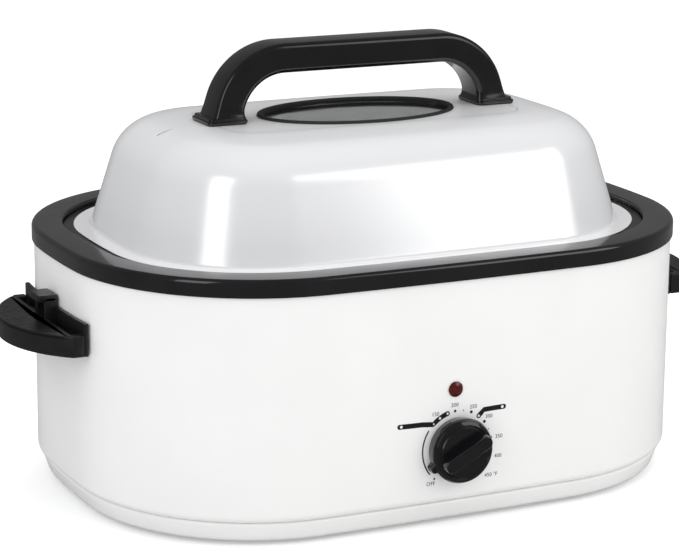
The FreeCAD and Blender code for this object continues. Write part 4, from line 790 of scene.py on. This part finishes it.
    def make_lamp(self, context, name, place, power, width, depth, tint, mirrored):
        lamp = bpy.data.lights.new(name, "AREA")
        lamp.shape, lamp.size, lamp.size_y = "RECTANGLE", width, depth
        lamp.energy, lamp.color = power, tint
        holder = bpy.data.objects.new(name, lamp)
        holder.visible_glossy = mirrored
        spot = Vector(place) * MM
        aim = Vector((0, 0, 0.17)) - spot
        holder.matrix_world = Matrix.Translation(spot) @ aim.to_track_quat("-Z", "Y").to_matrix().to_4x4()
        context.scene.collection.objects.link(holder)


class ROASTER_OT_housing(bpy.types.Operator):
    """Painted wall with its hem, base tray, feet and cord gland"""
    bl_idname = "roaster.housing"
    bl_label = "Housing"

    def execute(self, context):
        outline, sheet = rim_outline(), sizes().sheet
        low, high = (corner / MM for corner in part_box("outer_shell"))
        inset = HALF_LENGTH - (high.x - low.x) / 2
        hem, hem_round = inset + 10.0, 7.0
        wall, _ = filleted([
            (inset, high.z), (inset, low.z), (hem, low.z), (hem, low.z + sheet),
            (inset + sheet, low.z + sheet), (inset + sheet, high.z)],
            (0.3, hem_round, 0.3, 0.3, hem_round - sheet, 0.3), 10)
        new_piece("painted_wall", [carried(wall, outline)], "housing_paint", "base",
                  ["outer_shell"], crease=60)

        low, high = (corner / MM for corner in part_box("base_pan"))
        side = HALF_LENGTH - (high.x - low.x) / 2
        toe = side + 6.0
        tray, _ = filleted([
            (side + 10.0, high.z), (side, high.z), (toe, low.z), (toe + 120, low.z),
            (toe + 120, low.z + sheet), (toe + sheet, low.z + sheet), (side + sheet, high.z - sheet),
            (side + 10.0, high.z - sheet)],
            (0.3, 2.2, 7.0, 0.3, 0.3, 6.0, 1.2, 0.3), 8)
        floor = slab((outline[0] - (toe + 119) * outline[1], outline[1]), low.z, low.z + sheet, 0.2)
        new_piece("base_tray", [carried(tray, outline), floor], "housing_paint", "base",
                  ["base_pan"], crease=60)
        self.make_feet()
        self.make_gland()
        return {"FINISHED"}

    def make_feet(self):
        low, high = (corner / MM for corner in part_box("rubber_feet"))
        radius = 11.0
        x = high.x - radius
        y = high.y - CENTRE_Y - radius
        foot, _ = filleted([(0.5, 0), (7.5, 0), (8.2, 0.8), (9.2, 0.8), (9.8, 0), (radius - 0.4, 0),
                            (radius, 2.95), (0.5, 2.95)], (0.05, 0.3, 0.3, 0.3, 0.3, 0.5, 0.4, 0.05), 3)
        shells = []
        for side_x, side_y in ((1, 1), (-1, 1), (-1, -1), (1, -1)):
            where = (side_x * x, side_y * y, 0)
            shells.append(moved(turned(foot, 48, closed=True), origin=where))
            shells.append(moved(turned([(4.0, 2.5), (4.0, 4.0), (6.5, 4.0), (6.2, 6.3), (5.5, 6.5)], 32),
                                origin=where))
        new_piece("feet", shells, "foot_rubber", "base", ["rubber_feet"])

    def make_gland(self):
        low, high = (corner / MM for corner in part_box("cord_gland"))
        x, z = (low.x + high.x) / 2, (low.z + high.z) / 2
        bore, barrel, flange, proud = 4.2, 7.0, 10.0, 5.0
        back = high.y - CENTRE_Y
        bush, _ = filleted([
            (bore, -5.0), (barrel, -5.0), (barrel, 2.7), (flange, 2.7), (flange, 3.6), (flange - 1.5, proud),
            (bore, proud)], (0.3, 0.3, 0.2, 0.4, 0.8, 0.8, 0.6), 4)
        shell = moved(turned(bush, 64, closed=True), FACING_BACK, (x, back - proud, z))
        new_piece("gland", [shell], "moulded_black", "base", ["cord_gland"])


class ROASTER_OT_rim(bpy.types.Operator):
    """Black enamelled rim with its rolled edge and recess"""
    bl_idname = "roaster.rim"
    bl_label = "Rim"

    thickness, step_depth, shelf_width = 1.2, 6.2, 11.0

    def execute(self, context):
        form, thick = sizes(), self.thickness
        shelf = RIM_TOP - self.step_depth
        flange = form.rim_flange
        ring, _ = filleted([
            (0, RIM_TOP - form.rim_band), (0, RIM_TOP), (flange, RIM_TOP), (flange, shelf),
            (flange + self.shelf_width, shelf), (flange + self.shelf_width, shelf - thick),
            (flange - thick, shelf - thick), (flange - thick, RIM_TOP - thick), (thick, RIM_TOP - thick),
            (thick, RIM_TOP - form.rim_band)],
            (0.55, form.rim_roll, 1.8, 0.9, 0.5, 0.5, 0.5, 0.5, form.rim_roll - thick, 0.55), 10)
        new_piece("enamelled_rim", [carried(ring, rim_outline())], "rim_enamel", "base",
                  ["rim_ring"], crease=70)
        return {"FINISHED"}


class ROASTER_OT_well(bpy.types.Operator):
    """Heating well, roasting pan and wire rack"""
    bl_idname = "roaster.well"
    bl_label = "Well, pan and rack"

    def execute(self, context):
        outline = rim_outline()
        low, high = (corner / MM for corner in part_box("liner"))
        thick = 0.8
        edge = HALF_LENGTH - (high.x - low.x) / 2
        wall = edge + 12.0
        well, _ = filleted([
            (edge, high.z), (edge, high.z - thick), (wall, high.z - thick), (wall, low.z), (wall + 80, low.z),
            (wall + 80, low.z + thick), (wall + thick, low.z + thick), (wall + thick, high.z)],
            (0.2, 0.2, 1.0, 14.0, 0.2, 0.2, 13.2, 1.6), 8)
        plate = slab((outline[0] - (wall + 79) * outline[1], outline[1]), low.z, low.z + thick, 0.15)
        new_piece("heating_well", [carried(well, outline), plate], "aluminised_steel", "base",
                  ["liner"], crease=60)
        self.make_pan(outline)
        self.make_rack(outline)
        return {"FINISHED"}

    def make_pan(self, outline):
        low, high = (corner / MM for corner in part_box("roasting_pan"))
        thick, wall, draft = 1.2, 44.5, 6.0
        edge = HALF_LENGTH - (high.x - low.x) / 2
        foot = wall + draft
        pan, _ = filleted([
            (edge, high.z - thick), (wall, high.z - thick), (foot, low.z), (foot + 70, low.z),
            (foot + 70, low.z + thick), (foot + thick, low.z + thick), (wall + thick, high.z), (edge, high.z)],
            (0.5, 3.0, 22.0, 0.2, 0.2, 20.8, 4.2, 0.5), 10)
        plate = slab((outline[0] - (foot + 69) * outline[1], outline[1]), low.z, low.z + thick, 0.2)
        new_piece("enamelled_pan", [carried(pan, outline), plate], "pan_enamel", "pan",
                  ["roasting_pan"], crease=60)

    def make_rack(self, outline):
        """Frame, rods, bearers, feet and grips as round wires."""
        low, high = (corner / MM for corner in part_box("rack"))
        wire, rod, inset, pitch, tall, span = 2.2, 1.5, 66.0, 22.0, 62.0, 42.0
        foot = low.z
        level = foot + 12.0 + wire
        points, normals = outline
        flat = points - inset * normals
        shells = [tube(np.column_stack([flat, np.full(len(flat), level)]), wire, closed=True)]
        reach = HALF_LENGTH - inset
        count = int((2 * reach - 30) / pitch)
        upper = flat[flat[:, 1] > 0]
        upper = upper[np.argsort(upper[:, 0])]
        for number in range(count + 1):
            x = (number - count / 2) * pitch
            half = np.interp(x, upper[:, 0], upper[:, 1])
            shells.append(tube([(x, -half, level), (x, 0, level), (x, half, level)], rod, 10))
        bearer = HALF_DEPTH * 0.3
        drop = level - rod - wire + 0.4
        for y in (-bearer, bearer):
            run = reach * 0.92
            shells.append(tube([(-run, y, drop), (0, y, drop), (run, y, drop)], wire, 12))
            for x in (-reach * 0.75, 0, reach * 0.75):
                shells.append(tube([(x, y, foot), (x, y, (foot + drop) / 2), (x, y, drop)], wire, 12))
        bend = 12.0
        for side in (-1, 1):
            x = side * (reach - 1.5)
            loop = np.concatenate([
                [(-span, level), (-span, level + 10)], arc((bend - span, level + tall - bend), bend, 180, 90),
                arc((span - bend, level + tall - bend), bend, 90, 0), [(span, level + 10), (span, level)]])
            shells.append(tube(np.column_stack([np.full(len(loop), x), loop]), wire))
        new_piece("wire_rack", shells, "chrome_wire", "rack", ["rack"], crease=60)


class ROASTER_OT_lid(bpy.types.Operator):
    """Domed lid, its window and gasket, and the arched handle"""
    bl_idname = "roaster.lid"
    bl_label = "Lid"

    def execute(self, context):
        self.make_dome()
        self.make_window()
        self.make_handle()
        return {"FINISHED"}

    def make_dome(self):
        form = sizes()
        thick = form.sheet
        edge = HALF_LENGTH - (LID_HIGH.x - LID_LOW.x) / 2
        lip_depth = 5.0
        flange = LID_LOW.z + lip_depth
        lip = edge + 11.0
        foot, shoulder, crown, plate = edge + 14.5, edge + 42.0, edge + 88.0, edge + 104.0
        corner_height, lean = LID_TOP - 7.2, 0.95 * thick
        section, _ = filleted([
            (edge, flange), (lip, flange), (lip, LID_LOW.z), (lip + thick, LID_LOW.z), (lip + thick, flange),
            (foot + lean, flange), (shoulder + lean, corner_height - thick), (crown, LID_TOP - thick),
            (plate, LID_TOP - thick), (plate, LID_TOP), (crown, LID_TOP), (shoulder, corner_height),
            (foot, flange + thick), (edge, flange + thick)],
            (0.45, 0.3, 0.3, 0.3, 0.3, 2.0, form.lid_shoulder - thick, form.lid_crown + thick, 0.05, 0.05,
             form.lid_crown, form.lid_shoulder, 3.4, 0.45), 16)
        outline = rim_outline(480)
        lid = new_piece("lid_shell", [carried(section, outline), self.window_plate(outline, plate - 0.5, thick)],
                        "lid_paint", "lid", ["lid_dome"], crease=60)
        self.cut_vent(lid)

    vent_x, vent_y, vent_length, vent_width, vent_depth = -181.0, -2.0, 14.0, 2.4, 20.0

    def cut_vent(self, lid):
        """Steam slot through the left end of the lid: a bar with round ends, cut out of the mesh itself."""
        radius = self.vent_width / 2
        angle = np.linspace(-math.pi / 2, math.pi / 2, 13)
        end = np.column_stack([self.vent_length / 2 - radius + radius * np.cos(angle), radius * np.sin(angle)])
        ring = np.concatenate([end, -end]) + (self.vent_x, self.vent_y + CENTRE_Y)
        count = len(ring)
        points = np.concatenate([np.column_stack([ring, np.full(count, z)])
                                 for z in (LID_TOP - self.vent_depth, LID_TOP + 5)])
        sides = [(i, (i + 1) % count, (i + 1) % count + count, i + count) for i in range(count)]
        mesh = bpy.data.meshes.new("vent_cutter")
        mesh.from_pydata((points * MM).tolist(), [], sides + [list(range(count))[::-1], list(range(count, 2 * count))])
        cutter = bpy.data.objects.new("vent_cutter", mesh)
        bpy.context.scene.collection.objects.link(cutter)
        cut = lid.modifiers.new("vent", "BOOLEAN")
        cut.operation, cut.solver, cut.use_self, cut.object = "DIFFERENCE", "EXACT", False, cutter
        before = len(lid.data.polygons)
        result = bmesh.new()
        result.from_mesh(lid.evaluated_get(bpy.context.evaluated_depsgraph_get()).to_mesh())
        open_edges = sum(len(edge.link_faces) != 2 for edge in result.edges)
        lid.modifiers.remove(cut)
        result.to_mesh(lid.data)
        result.free()
        bpy.data.meshes.remove(mesh)
        if open_edges or len(lid.data.polygons) == before:
            raise RuntimeError("the vent wasn't cut cleanly: %d open edges" % open_edges)

    def window_plate(self, outline, inset, thick):
        """Flat of the lid between its outline and the window's oval hole.

        Both run once round; a point goes straight from one to the other at a share of the way.
        """
        form = sizes()
        outer = outline[0] - inset * outline[1]
        angle = np.arctan2(outer[:, 1] / form.window_depth, outer[:, 0] / form.window_length)
        bite = 2.5
        hole = np.stack([(form.window_length - bite) * np.cos(angle),
                         (form.window_depth - bite) * np.sin(angle)], axis=1)
        top, under = LID_TOP, LID_TOP - thick
        rings = [(outer, top), (outer * 0.5 + hole * 0.5, top), (hole, top), (hole, under),
                 (outer * 0.5 + hole * 0.5, under), (outer, under)]
        grid = np.stack([np.column_stack([flat, np.full(len(flat), z)]) for flat, z in rings], axis=1)
        return skin(grid)

    def make_window(self):
        """Glass with a ground edge, and a gasket whose lips close over lid and glass."""
        form = sizes()
        low, high = (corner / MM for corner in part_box("window_glass"))
        bite, wide, stand, lip = 2.5, 5.0, 2.4, 1.6
        glass = ellipse(form.window_length - wide + bite / 2, form.window_depth - wide + bite / 2)
        new_piece("window_pane", [slab(glass, low.z, high.z, 0.5)], "window_glass", "lid",
                  ["window_glass"])
        under = LID_TOP - form.sheet
        section, _ = filleted([
            (0, LID_TOP + 0.05), (wide, LID_TOP - 0.6), (wide, high.z + 0.05), (wide - bite / 2 - 0.1, high.z + 0.05),
            (wide - bite / 2 - 0.1, low.z - 0.05), (wide, low.z - 0.05), (wide, low.z - lip), (0, low.z - lip),
            (0, under - 0.05), (bite + 0.6, under - 0.05), (bite + 0.6, LID_TOP + 0.05)],
            (0.02, 0.02, 0.02, 0.1, 0.1, 0.1, 0.6, 0.6, 0.3, 0.05, 0.05), 3)
        crown, _ = filleted([(0, LID_TOP + 0.05), (0.6, LID_TOP + stand * 0.75), (1.8, LID_TOP + stand),
                             (3.4, LID_TOP + stand), (wide, LID_TOP + stand * 0.35), (wide, LID_TOP - 0.7),
                             (bite, LID_TOP - 0.2)], (0.05, 0.9, 0.9, 1.2, 0.8, 0.05, 0.05), 5)
        oval = ellipse(form.window_length, form.window_depth, 260)
        new_piece("window_seal", [carried(section[::-1], oval), carried(crown, oval)], "gasket_rubber", "lid",
                  ["window_gasket"])

    centre_x, outer_round, section, width = 75.0, 64.0, 25.0, 35.0

    def make_handle(self):
        """Arched bar on two legs.

        The centreline is a leg, a quarter circle, a flat top, a quarter circle and a leg. Its section is
        a rounded rectangle of half sizes a and b, both growing with the cube of the nearness to a foot.
        """
        foot = LID_TOP + 1.0
        pad_top = foot + 5.0
        radius = self.outer_round - self.section / 2
        bend = foot + 1.0
        quarter = arc((self.centre_x, bend), radius, 0, 90, 26)
        top = np.column_stack([np.linspace(self.centre_x, -self.centre_x, 17)[1:-1],
                               np.full(15, bend + radius)])
        half = np.concatenate([[(self.centre_x + radius, foot + 0.5)], quarter])
        centreline = np.concatenate([half, top, half[::-1] * (-1, 1)])
        tangent = np.gradient(centreline, axis=0)
        tangent /= np.linalg.norm(tangent, axis=1, keepdims=True)
        normal = np.stack([tangent[:, 1], -tangent[:, 0]], axis=1)
        rise = centreline[:, 1] - foot
        flare = np.clip(1 - (rise - 3.0) / 16.0, 0, 1) ** 3
        a = self.section / 2 + 2.6 * flare
        b = self.width / 2 + 1.8 * flare
        base, facing = filleted(
            [(-1, -1), (1, -1), (1, 1), (-1, 1)], 0.001, 8)
        edge = 4.5
        corner = np.sign(base)
        grid = np.empty((len(centreline), len(base), 3))
        across = corner[:, 0] * (a[:, None] - edge) + edge * facing[:, 0]
        along = corner[:, 1] * (b[:, None] - edge) + edge * facing[:, 1]
        crown = 0.7 * (1 - (along / b[:, None]) ** 2) * np.sign(across)
        across = across + crown
        grid[:, :, 0] = centreline[:, :1] + normal[:, :1] * across
        grid[:, :, 2] = centreline[:, 1:] + normal[:, 1:] * across
        grid[:, :, 1] = along
        bar = skin(grid.transpose(1, 0, 2), round_columns=False, caps=(True, True))
        shells = [bar]
        for side in (-1, 1):
            near, far = sorted((side * 111.0, side * 148.0))
            foot_plan = filleted([(near, -21), (far, -21), (far, 21), (near, 21)], 5.0, 8)
            shells.append(slab(foot_plan, foot, foot + 2.6, 0.7, 0.4))
            step = 1.6
            step_plan = filleted([(near + step, step - 21), (far - step, step - 21), (far - step, 21 - step),
                                  (near + step, 21 - step)], 4.2, 8)
            shells.append(slab(step_plan, foot + 2.0, pad_top, 1.2, 0.3))
        new_piece("arched_grip", shells, "grip_plastic", "lid", ["lid_handle"], crease=50)

        low, high = (corner_ / MM for corner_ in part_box("lid_handle_gaskets"))
        gaskets = []
        for side in (-1, 1):
            near, far = sorted((side * 112.0, side * 147.0))
            plan = filleted([(near, -20), (far, -20), (far, 20), (near, 20)], 4.2, 8)
            gaskets.append(slab(plan, low.z, high.z, 0.35))
        new_piece("grip_gaskets", gaskets, "gasket_rubber", "lid", ["lid_handle_gaskets"])


class ROASTER_OT_side_handles(bpy.types.Operator):
    """Two like moulded handles, each with a wall plate, a hollow shelf and a lid hook"""
    bl_idname = "roaster.side_handles"
    bl_label = "Side handles"

    shift, half, top, skirt = 9.0, 77.0, 162.0, 18.0
    chord, apex, wall = 288.0, 324.0, 3.0
    plate_thickness, plate_top, plate_gap = 4.0, 172.0, 0.2
    hook_half, rib, cap_reach, rib_reach, hook_top, cap = 13.0, 4.0, 297.0, 291.0, 182.0, 6.0
    notch_reach, notch_half = 297.0, 11.5

    def execute(self, context):
        left = self.make_shells()
        new_piece("left_handle", left, "handle_plastic", "base", ["side_handle_left"])
        half_turn = ((-1, 0, 0), (0, -1, 0), (0, 0, 1))
        new_piece("right_handle", [moved(shell, half_turn) for shell in left], "handle_plastic", "base",
                  ["side_handle_right"])
        return {"FINISHED"}

    def bow(self, chord, half, apex, steps=26):
        """Points of the outer arc, from the front end to the back one."""
        rise = apex - chord
        radius = (half ** 2 + rise ** 2) / (2 * rise)
        reach = math.degrees(math.asin(half / radius))
        return arc((radius - apex, self.shift), radius, 180 + reach, 180 - reach, steps)

    def strip(self, inner, outer, low, high, steps=16):
        """Corners of the strip between two insets of the end wall, outside it."""
        y = np.linspace(low, high, steps)
        near = np.column_stack([end_wall(y, -inner), y])
        far = np.column_stack([end_wall(y, -outer), y])
        return np.concatenate([near, far[::-1]])

    def block(self, reach, low_y, high_y, low, high, edge, radii=0.8):
        """A block from x = -reach to inside the wall plate."""
        inside = 1.0 - HALF_LENGTH
        corners = [(-reach, low_y), (inside, low_y), (inside, high_y), (-reach, high_y)]
        return plate(corners, radii, low, high, edge)

    def make_shells(self):
        low, mid = self.top - self.skirt, self.shift
        front, back = mid - self.half, mid + self.half
        outside = self.plate_gap - 2.0
        shells = [plate(self.strip(outside, outside + self.plate_thickness, front, back),
                        0.9, low, self.plate_top, 0.8)]

        bow = self.bow(self.chord, self.half, self.apex)
        notch = [(-self.chord, mid + self.notch_half), (-self.notch_reach, mid + self.notch_half),
                 (-self.notch_reach, mid - self.notch_half), (-self.chord, mid - self.notch_half)]
        radii = np.full(len(bow) + 4, 1.4)
        radii[[0, len(bow) - 1]] = 4.0
        shells.append(plate(np.concatenate([bow, notch]), radii, self.top - self.wall, self.top, 1.0, 0.3))

        middle = np.array((self.apex - (self.half ** 2 + (self.apex - self.chord) ** 2)
                           / (2 * (self.apex - self.chord)), -mid)) * -1
        inward = (middle - bow) / np.linalg.norm(middle - bow, axis=1, keepdims=True)
        wall = np.concatenate([bow, (bow + self.wall * inward)[::-1]])
        shells.append(plate(wall, 0.9, low, self.top - 0.5, 0.5))
        for near, far in ((front + 6, mid - self.notch_half), (mid + self.notch_half, back - 6)):
            corners = [(-self.chord - self.wall, near), (-self.chord, near), (-self.chord, far),
                       (-self.chord - self.wall, far)]
            shells.append(plate(corners, 0.7, low, self.top - 0.5, 0.3))

        shells.append(self.block(self.chord + 1.5, front + 0.3, front + 10, low, self.top, 0.9, 1.4))
        shells.append(self.block(self.chord + 1.5, back - 10, back - 0.3, low, self.top, 0.9, 1.4))
        shells.append(self.block(self.chord + 1, front + 2, back - 2, low, low + self.wall, 0.4))
        for side in (-1, 1):
            spot = mid + side * 45.0
            shells.append(self.block(self.chord + 5, spot - 6, spot + 6, low, 157.0, 0.6))
            near, far = sorted((mid + side * self.hook_half, mid + side * (self.hook_half - self.rib)))
            shells.append(self.block(self.rib_reach, near, far, low, self.hook_top - 2.0, 0.8, 1.2))
        shells.append(self.block(self.cap_reach, mid - self.hook_half, mid + self.hook_half,
                                 self.hook_top - self.cap, self.hook_top, 1.4, 2.6))
        return shells


class ROASTER_OT_dial(bpy.types.Operator):
    """Knob, pilot light and the marks printed round the dial"""
    bl_idname = "roaster.dial"
    bl_label = "Dial"

    dial_x, dial_z = -1.5, 68.0
    pointer_angle = 152.0
    print_thickness = 0.06

    def execute(self, context):
        self.make_knob()
        self.make_pilot()
        self.make_marks()
        return {"FINISHED"}

    def make_knob(self):
        """Skirt and bevelled face turned about the shaft, a tapered grip bar across it, and a nose."""
        low, high = (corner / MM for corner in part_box("knob"))
        front, height = low.y - CENTRE_Y, high.y - low.y
        skirt, face = sizes().knob_radius, 22.0
        profile, _ = filleted([
            (0.4, 6.0), (12.0, 6.0), (12.0, 0), (skirt - 1.2, 0), (skirt, 9.5), (skirt - 1.6, 12.4),
            (face + 1.3, 14.2), (face + 0.5, 13.3), (face - 0.6, 14.6), (face - 2.2, 14.4), (0.4, 13.9)],
            (0.1, 0.3, 0.5, 0.6, 2.0, 1.6, 0.4, 0.3, 0.5, 1.0, 0.1), 6)
        shells = [turned(profile, 120, closed=True), turned([(0.5, 6.05), (0.5, 13.85)], 12)]
        half, reach = 6.5, 24.0
        bar = [(-reach, -half), (reach, -half), (reach, half), (-reach, half)]
        shells.append(plate(bar, 5.9, 12.5, height, 1.5, 0.2, draft=0.09, steps=6))
        nose = [(12.0, -11.0), (31.3, -2.6), (31.3, 2.6), (12.0, 11.0)]
        shells.append(plate(nose, (0.4, 2.4, 2.4, 0.4), 1.0, 9.4, 1.8, 0.5))
        turn = math.radians(-self.pointer_angle)
        spin = ((math.cos(turn), math.sin(turn), 0), (-math.sin(turn), math.cos(turn), 0), (0, 0, 1))
        placed = [moved(moved(shell, spin), FACING_FRONT, (self.dial_x, front + height, self.dial_z))
                  for shell in shells]
        new_piece("dial_knob", placed, "grip_plastic", "knob", ["knob"], crease=40)

    def make_pilot(self):
        low, high = (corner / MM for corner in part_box("pilot_lens"))
        x, z = (low.x + high.x) / 2, (low.z + high.z) / 2
        proud, radius = high.y - low.y, (high.x - low.x) / 2
        profile, _ = filleted([(0.3, 0), (radius, 0), (radius, 0.7), (radius - 0.9, 1.1), (radius - 1.6, 1.5),
                               (radius * 0.45, proud), (0.3, proud)],
                              (0.05, 0.2, 0.3, 0.3, 0.8, 2.0, 0.05), 6)
        lens = moved(turned(profile, 64), FACING_FRONT, (x, high.y - CENTRE_Y, z))
        new_piece("pilot_dome", [lens], "pilot_red", "base", ["pilot_lens"], crease=40)

    def on_wall(self, shell, lift):
        """Bends a flat shell in X and Z onto the front wall: Y is the wall's less the print's height."""
        points, quads, caps = shell
        bent = points.copy()
        bent[:, 0], bent[:, 2] = points[:, 0], points[:, 1]
        bent[:, 1] = front_wall(points[:, 0], 2.0) - lift - points[:, 2]
        return bent, quads, caps

    def stroke(self, path, width, blunt=False):
        """A flat band along a path, with round ends: each point plus or minus half the width on its normal."""
        path = np.asarray(path, float)
        tangent = np.gradient(path, axis=0)
        tangent /= np.linalg.norm(tangent, axis=1, keepdims=True)
        side = np.stack([-tangent[:, 1], tangent[:, 0]], axis=1) * width / 2
        ends = []
        for spot, way, sign in ((path[-1], side[-1], -1), (path[0], -side[0], -1)):
            first = math.degrees(math.atan2(way[1], way[0]))
            ends.append(arc(spot, width / 2, first, first + sign * 180, 10)[1:-1])
        rim = np.concatenate([path + side, ends[0], (path - side)[::-1], ends[1]])
        flat = np.column_stack([rim, np.zeros(len(rim))])
        thick = np.stack([flat, flat + (0, 0, self.print_thickness)], axis=1)
        return skin(thick, round_columns=False, caps=(True, True))

    def disc(self, x, z, radius):
        return self.stroke([(x - radius * 0.02, z), (x + radius * 0.02, z)], 2 * radius)

    def around(self, degrees, radius=None):
        """A point on the circle of dots."""
        radius = radius or sizes().dial_radius
        turn = math.radians(degrees)
        return self.dial_x + radius * math.cos(turn), self.dial_z + radius * math.sin(turn)

    def lettering(self, words, x, z, scale=1.0):
        """Words as a thin solid, centred on a point."""
        curve = bpy.data.curves.new("words", "FONT")
        curve.body, curve.size = words, sizes().number_height * scale
        curve.align_x, curve.align_y = "CENTER", "CENTER"
        curve.extrude = self.print_thickness / 2
        curve.resolution_u = 3
        holder = bpy.data.objects.new("words", curve)
        mesh = bpy.data.meshes.new_from_object(holder)
        points = np.empty(len(mesh.vertices) * 3)
        mesh.vertices.foreach_get("co", points)
        points = points.reshape(-1, 3) + (x, z, self.print_thickness / 2)
        caps = [np.array(face.vertices) for face in mesh.polygons]
        bpy.data.objects.remove(holder)
        bpy.data.meshes.remove(mesh)
        bpy.data.curves.remove(curve)
        return points, np.zeros((0, 4), int), caps

    def make_marks(self):
        black, white = [], []
        for words, x, z, scale in (
                ("150", -22.2, 99.3, 1), ("200", -4.2, 105.2, 1), ("250", 13.2, 101.8, 1),
                ("300", 28.2, 91.6, 1), ("350", 38.2, 72.9, 1), ("400", 37.7, 55.8, 1),
                ("450 °F", 31.5, 40.0, 1), ("OFF", -25.5, 39.5, 1)):
            black.append(self.lettering(words, x, z, scale))
        for degrees, radius in ((-130.4, 0.9), (94.3, 1.15), (80.3, 0.55), (66.3, 1.3), (37.4, 1.35),
                                (22.8, 0.55), (8.4, 1.45)):
            black.append(self.disc(*self.around(degrees), radius))
        black.append(self.stroke(np.array([self.around(a) for a in np.linspace(147, 218, 30)]), 1.25))
        warm = np.concatenate([[(-55.1, 92.4), (-45.0, 92.1), (-34.0, 91.9)],
                               [self.around(a) for a in np.linspace(134.5, 107.2, 9)]])
        thaw = np.concatenate([[self.around(51.5), (20.6, 95.2)], [(23.5, 97.9), (33.0, 98.2), (42.3, 98.3)]])
        for path in (warm, thaw):
            black.append(self.stroke(path, 4.3))
        for degrees, radius in ((133.7, 0.75), (121.0, 1.1), (107.2, 0.95), (51.5, 1.0)):
            white.append(self.disc(*self.around(degrees), radius))
        white.append(self.disc(-53.6, 92.4, 1.25))
        white.append(self.disc(40.9, 98.3, 1.25))
        new_piece("dial_marks", [self.on_wall(shell, 0.02) for shell in black], "dial_ink", "base", crease=30)
        new_piece("dial_dots", [self.on_wall(shell, 0.07) for shell in white], "dial_white", "base", crease=30)


class ROASTER_OT_inner_parts(bpy.types.Operator):
    """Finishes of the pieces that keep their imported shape"""
    bl_idname = "roaster.inner_parts"
    bl_label = "Inner parts"

    dressed = {
        "glass_fibre": ["insulation_blanket"],
        "mica": ["heater_band"],
        "porcelain": ["stud_bases", "terminal_block"],
        "brass": ["terminal_studs", "thermostat_nut"],
        "zinc_steel": ["liner_brackets", "base_screws", "side_handle_screws", "lid_washers",
                       "lid_handle_screws", "control_shaft", "fuse_strap", "sensor_clips", "thermal_fuse"],
        "spring_steel": ["knob_clip", "pilot_clip"],
        "moulded_black": ["thermostat", "pilot_lamp"],
        "copper": ["sensor_bulb", "capillary_tube"],
        "lead_black": ["lead_live"],
        "lead_red": ["lead_heater", "lead_fuse"],
        "lead_white": ["lead_neutral"],
    }

    def execute(self, context):
        for name, nodes in self.dressed.items():
            for node in nodes:
                self.dress(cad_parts[node], finish(name))
        return {"FINISHED"}

    def dress(self, piece, material):
        if not piece.material_slots:
            raise RuntimeError("%s has no material slot" % piece.name)
        for slot in piece.material_slots:
            slot.material = material


class ROASTER_PT_panel(bpy.types.Panel):
    """Buttons for each group, and the sizes and colours"""
    bl_label = "Roaster oven"
    bl_space_type = "VIEW_3D"
    bl_region_type = "UI"
    bl_category = "Roaster"

    def draw(self, context):
        for operator in OPERATORS:
            self.layout.operator(operator.bl_idname)
        for group in (context.scene.roaster.sizes, context.scene.roaster.colours):
            for word in group.bl_rna.properties.keys():
                if word not in ("rna_type", "name"):
                    self.layout.prop(group, word)


OPERATORS = (ROASTER_OT_stage, ROASTER_OT_housing, ROASTER_OT_rim, ROASTER_OT_well, ROASTER_OT_lid,
             ROASTER_OT_side_handles, ROASTER_OT_dial, ROASTER_OT_inner_parts)
CLASSES = (RoasterSizes, RoasterColours, RoasterSettings) + OPERATORS + (ROASTER_PT_panel,)


def register():
    for made in CLASSES:
        bpy.utils.register_class(made)
    bpy.types.Scene.roaster = bpy.props.PointerProperty(type=RoasterSettings)


def unregister():
    del bpy.types.Scene.roaster
    for made in reversed(CLASSES):
        bpy.utils.unregister_class(made)


def main():
    """Makes every group in order."""
    register()
    for operator in OPERATORS:
        group, word = operator.bl_idname.split(".")
        if getattr(getattr(bpy.ops, group), word)() != {"FINISHED"}:
            raise RuntimeError("%s did not finish" % operator.bl_idname)


if __name__ == "__main__":
    main()
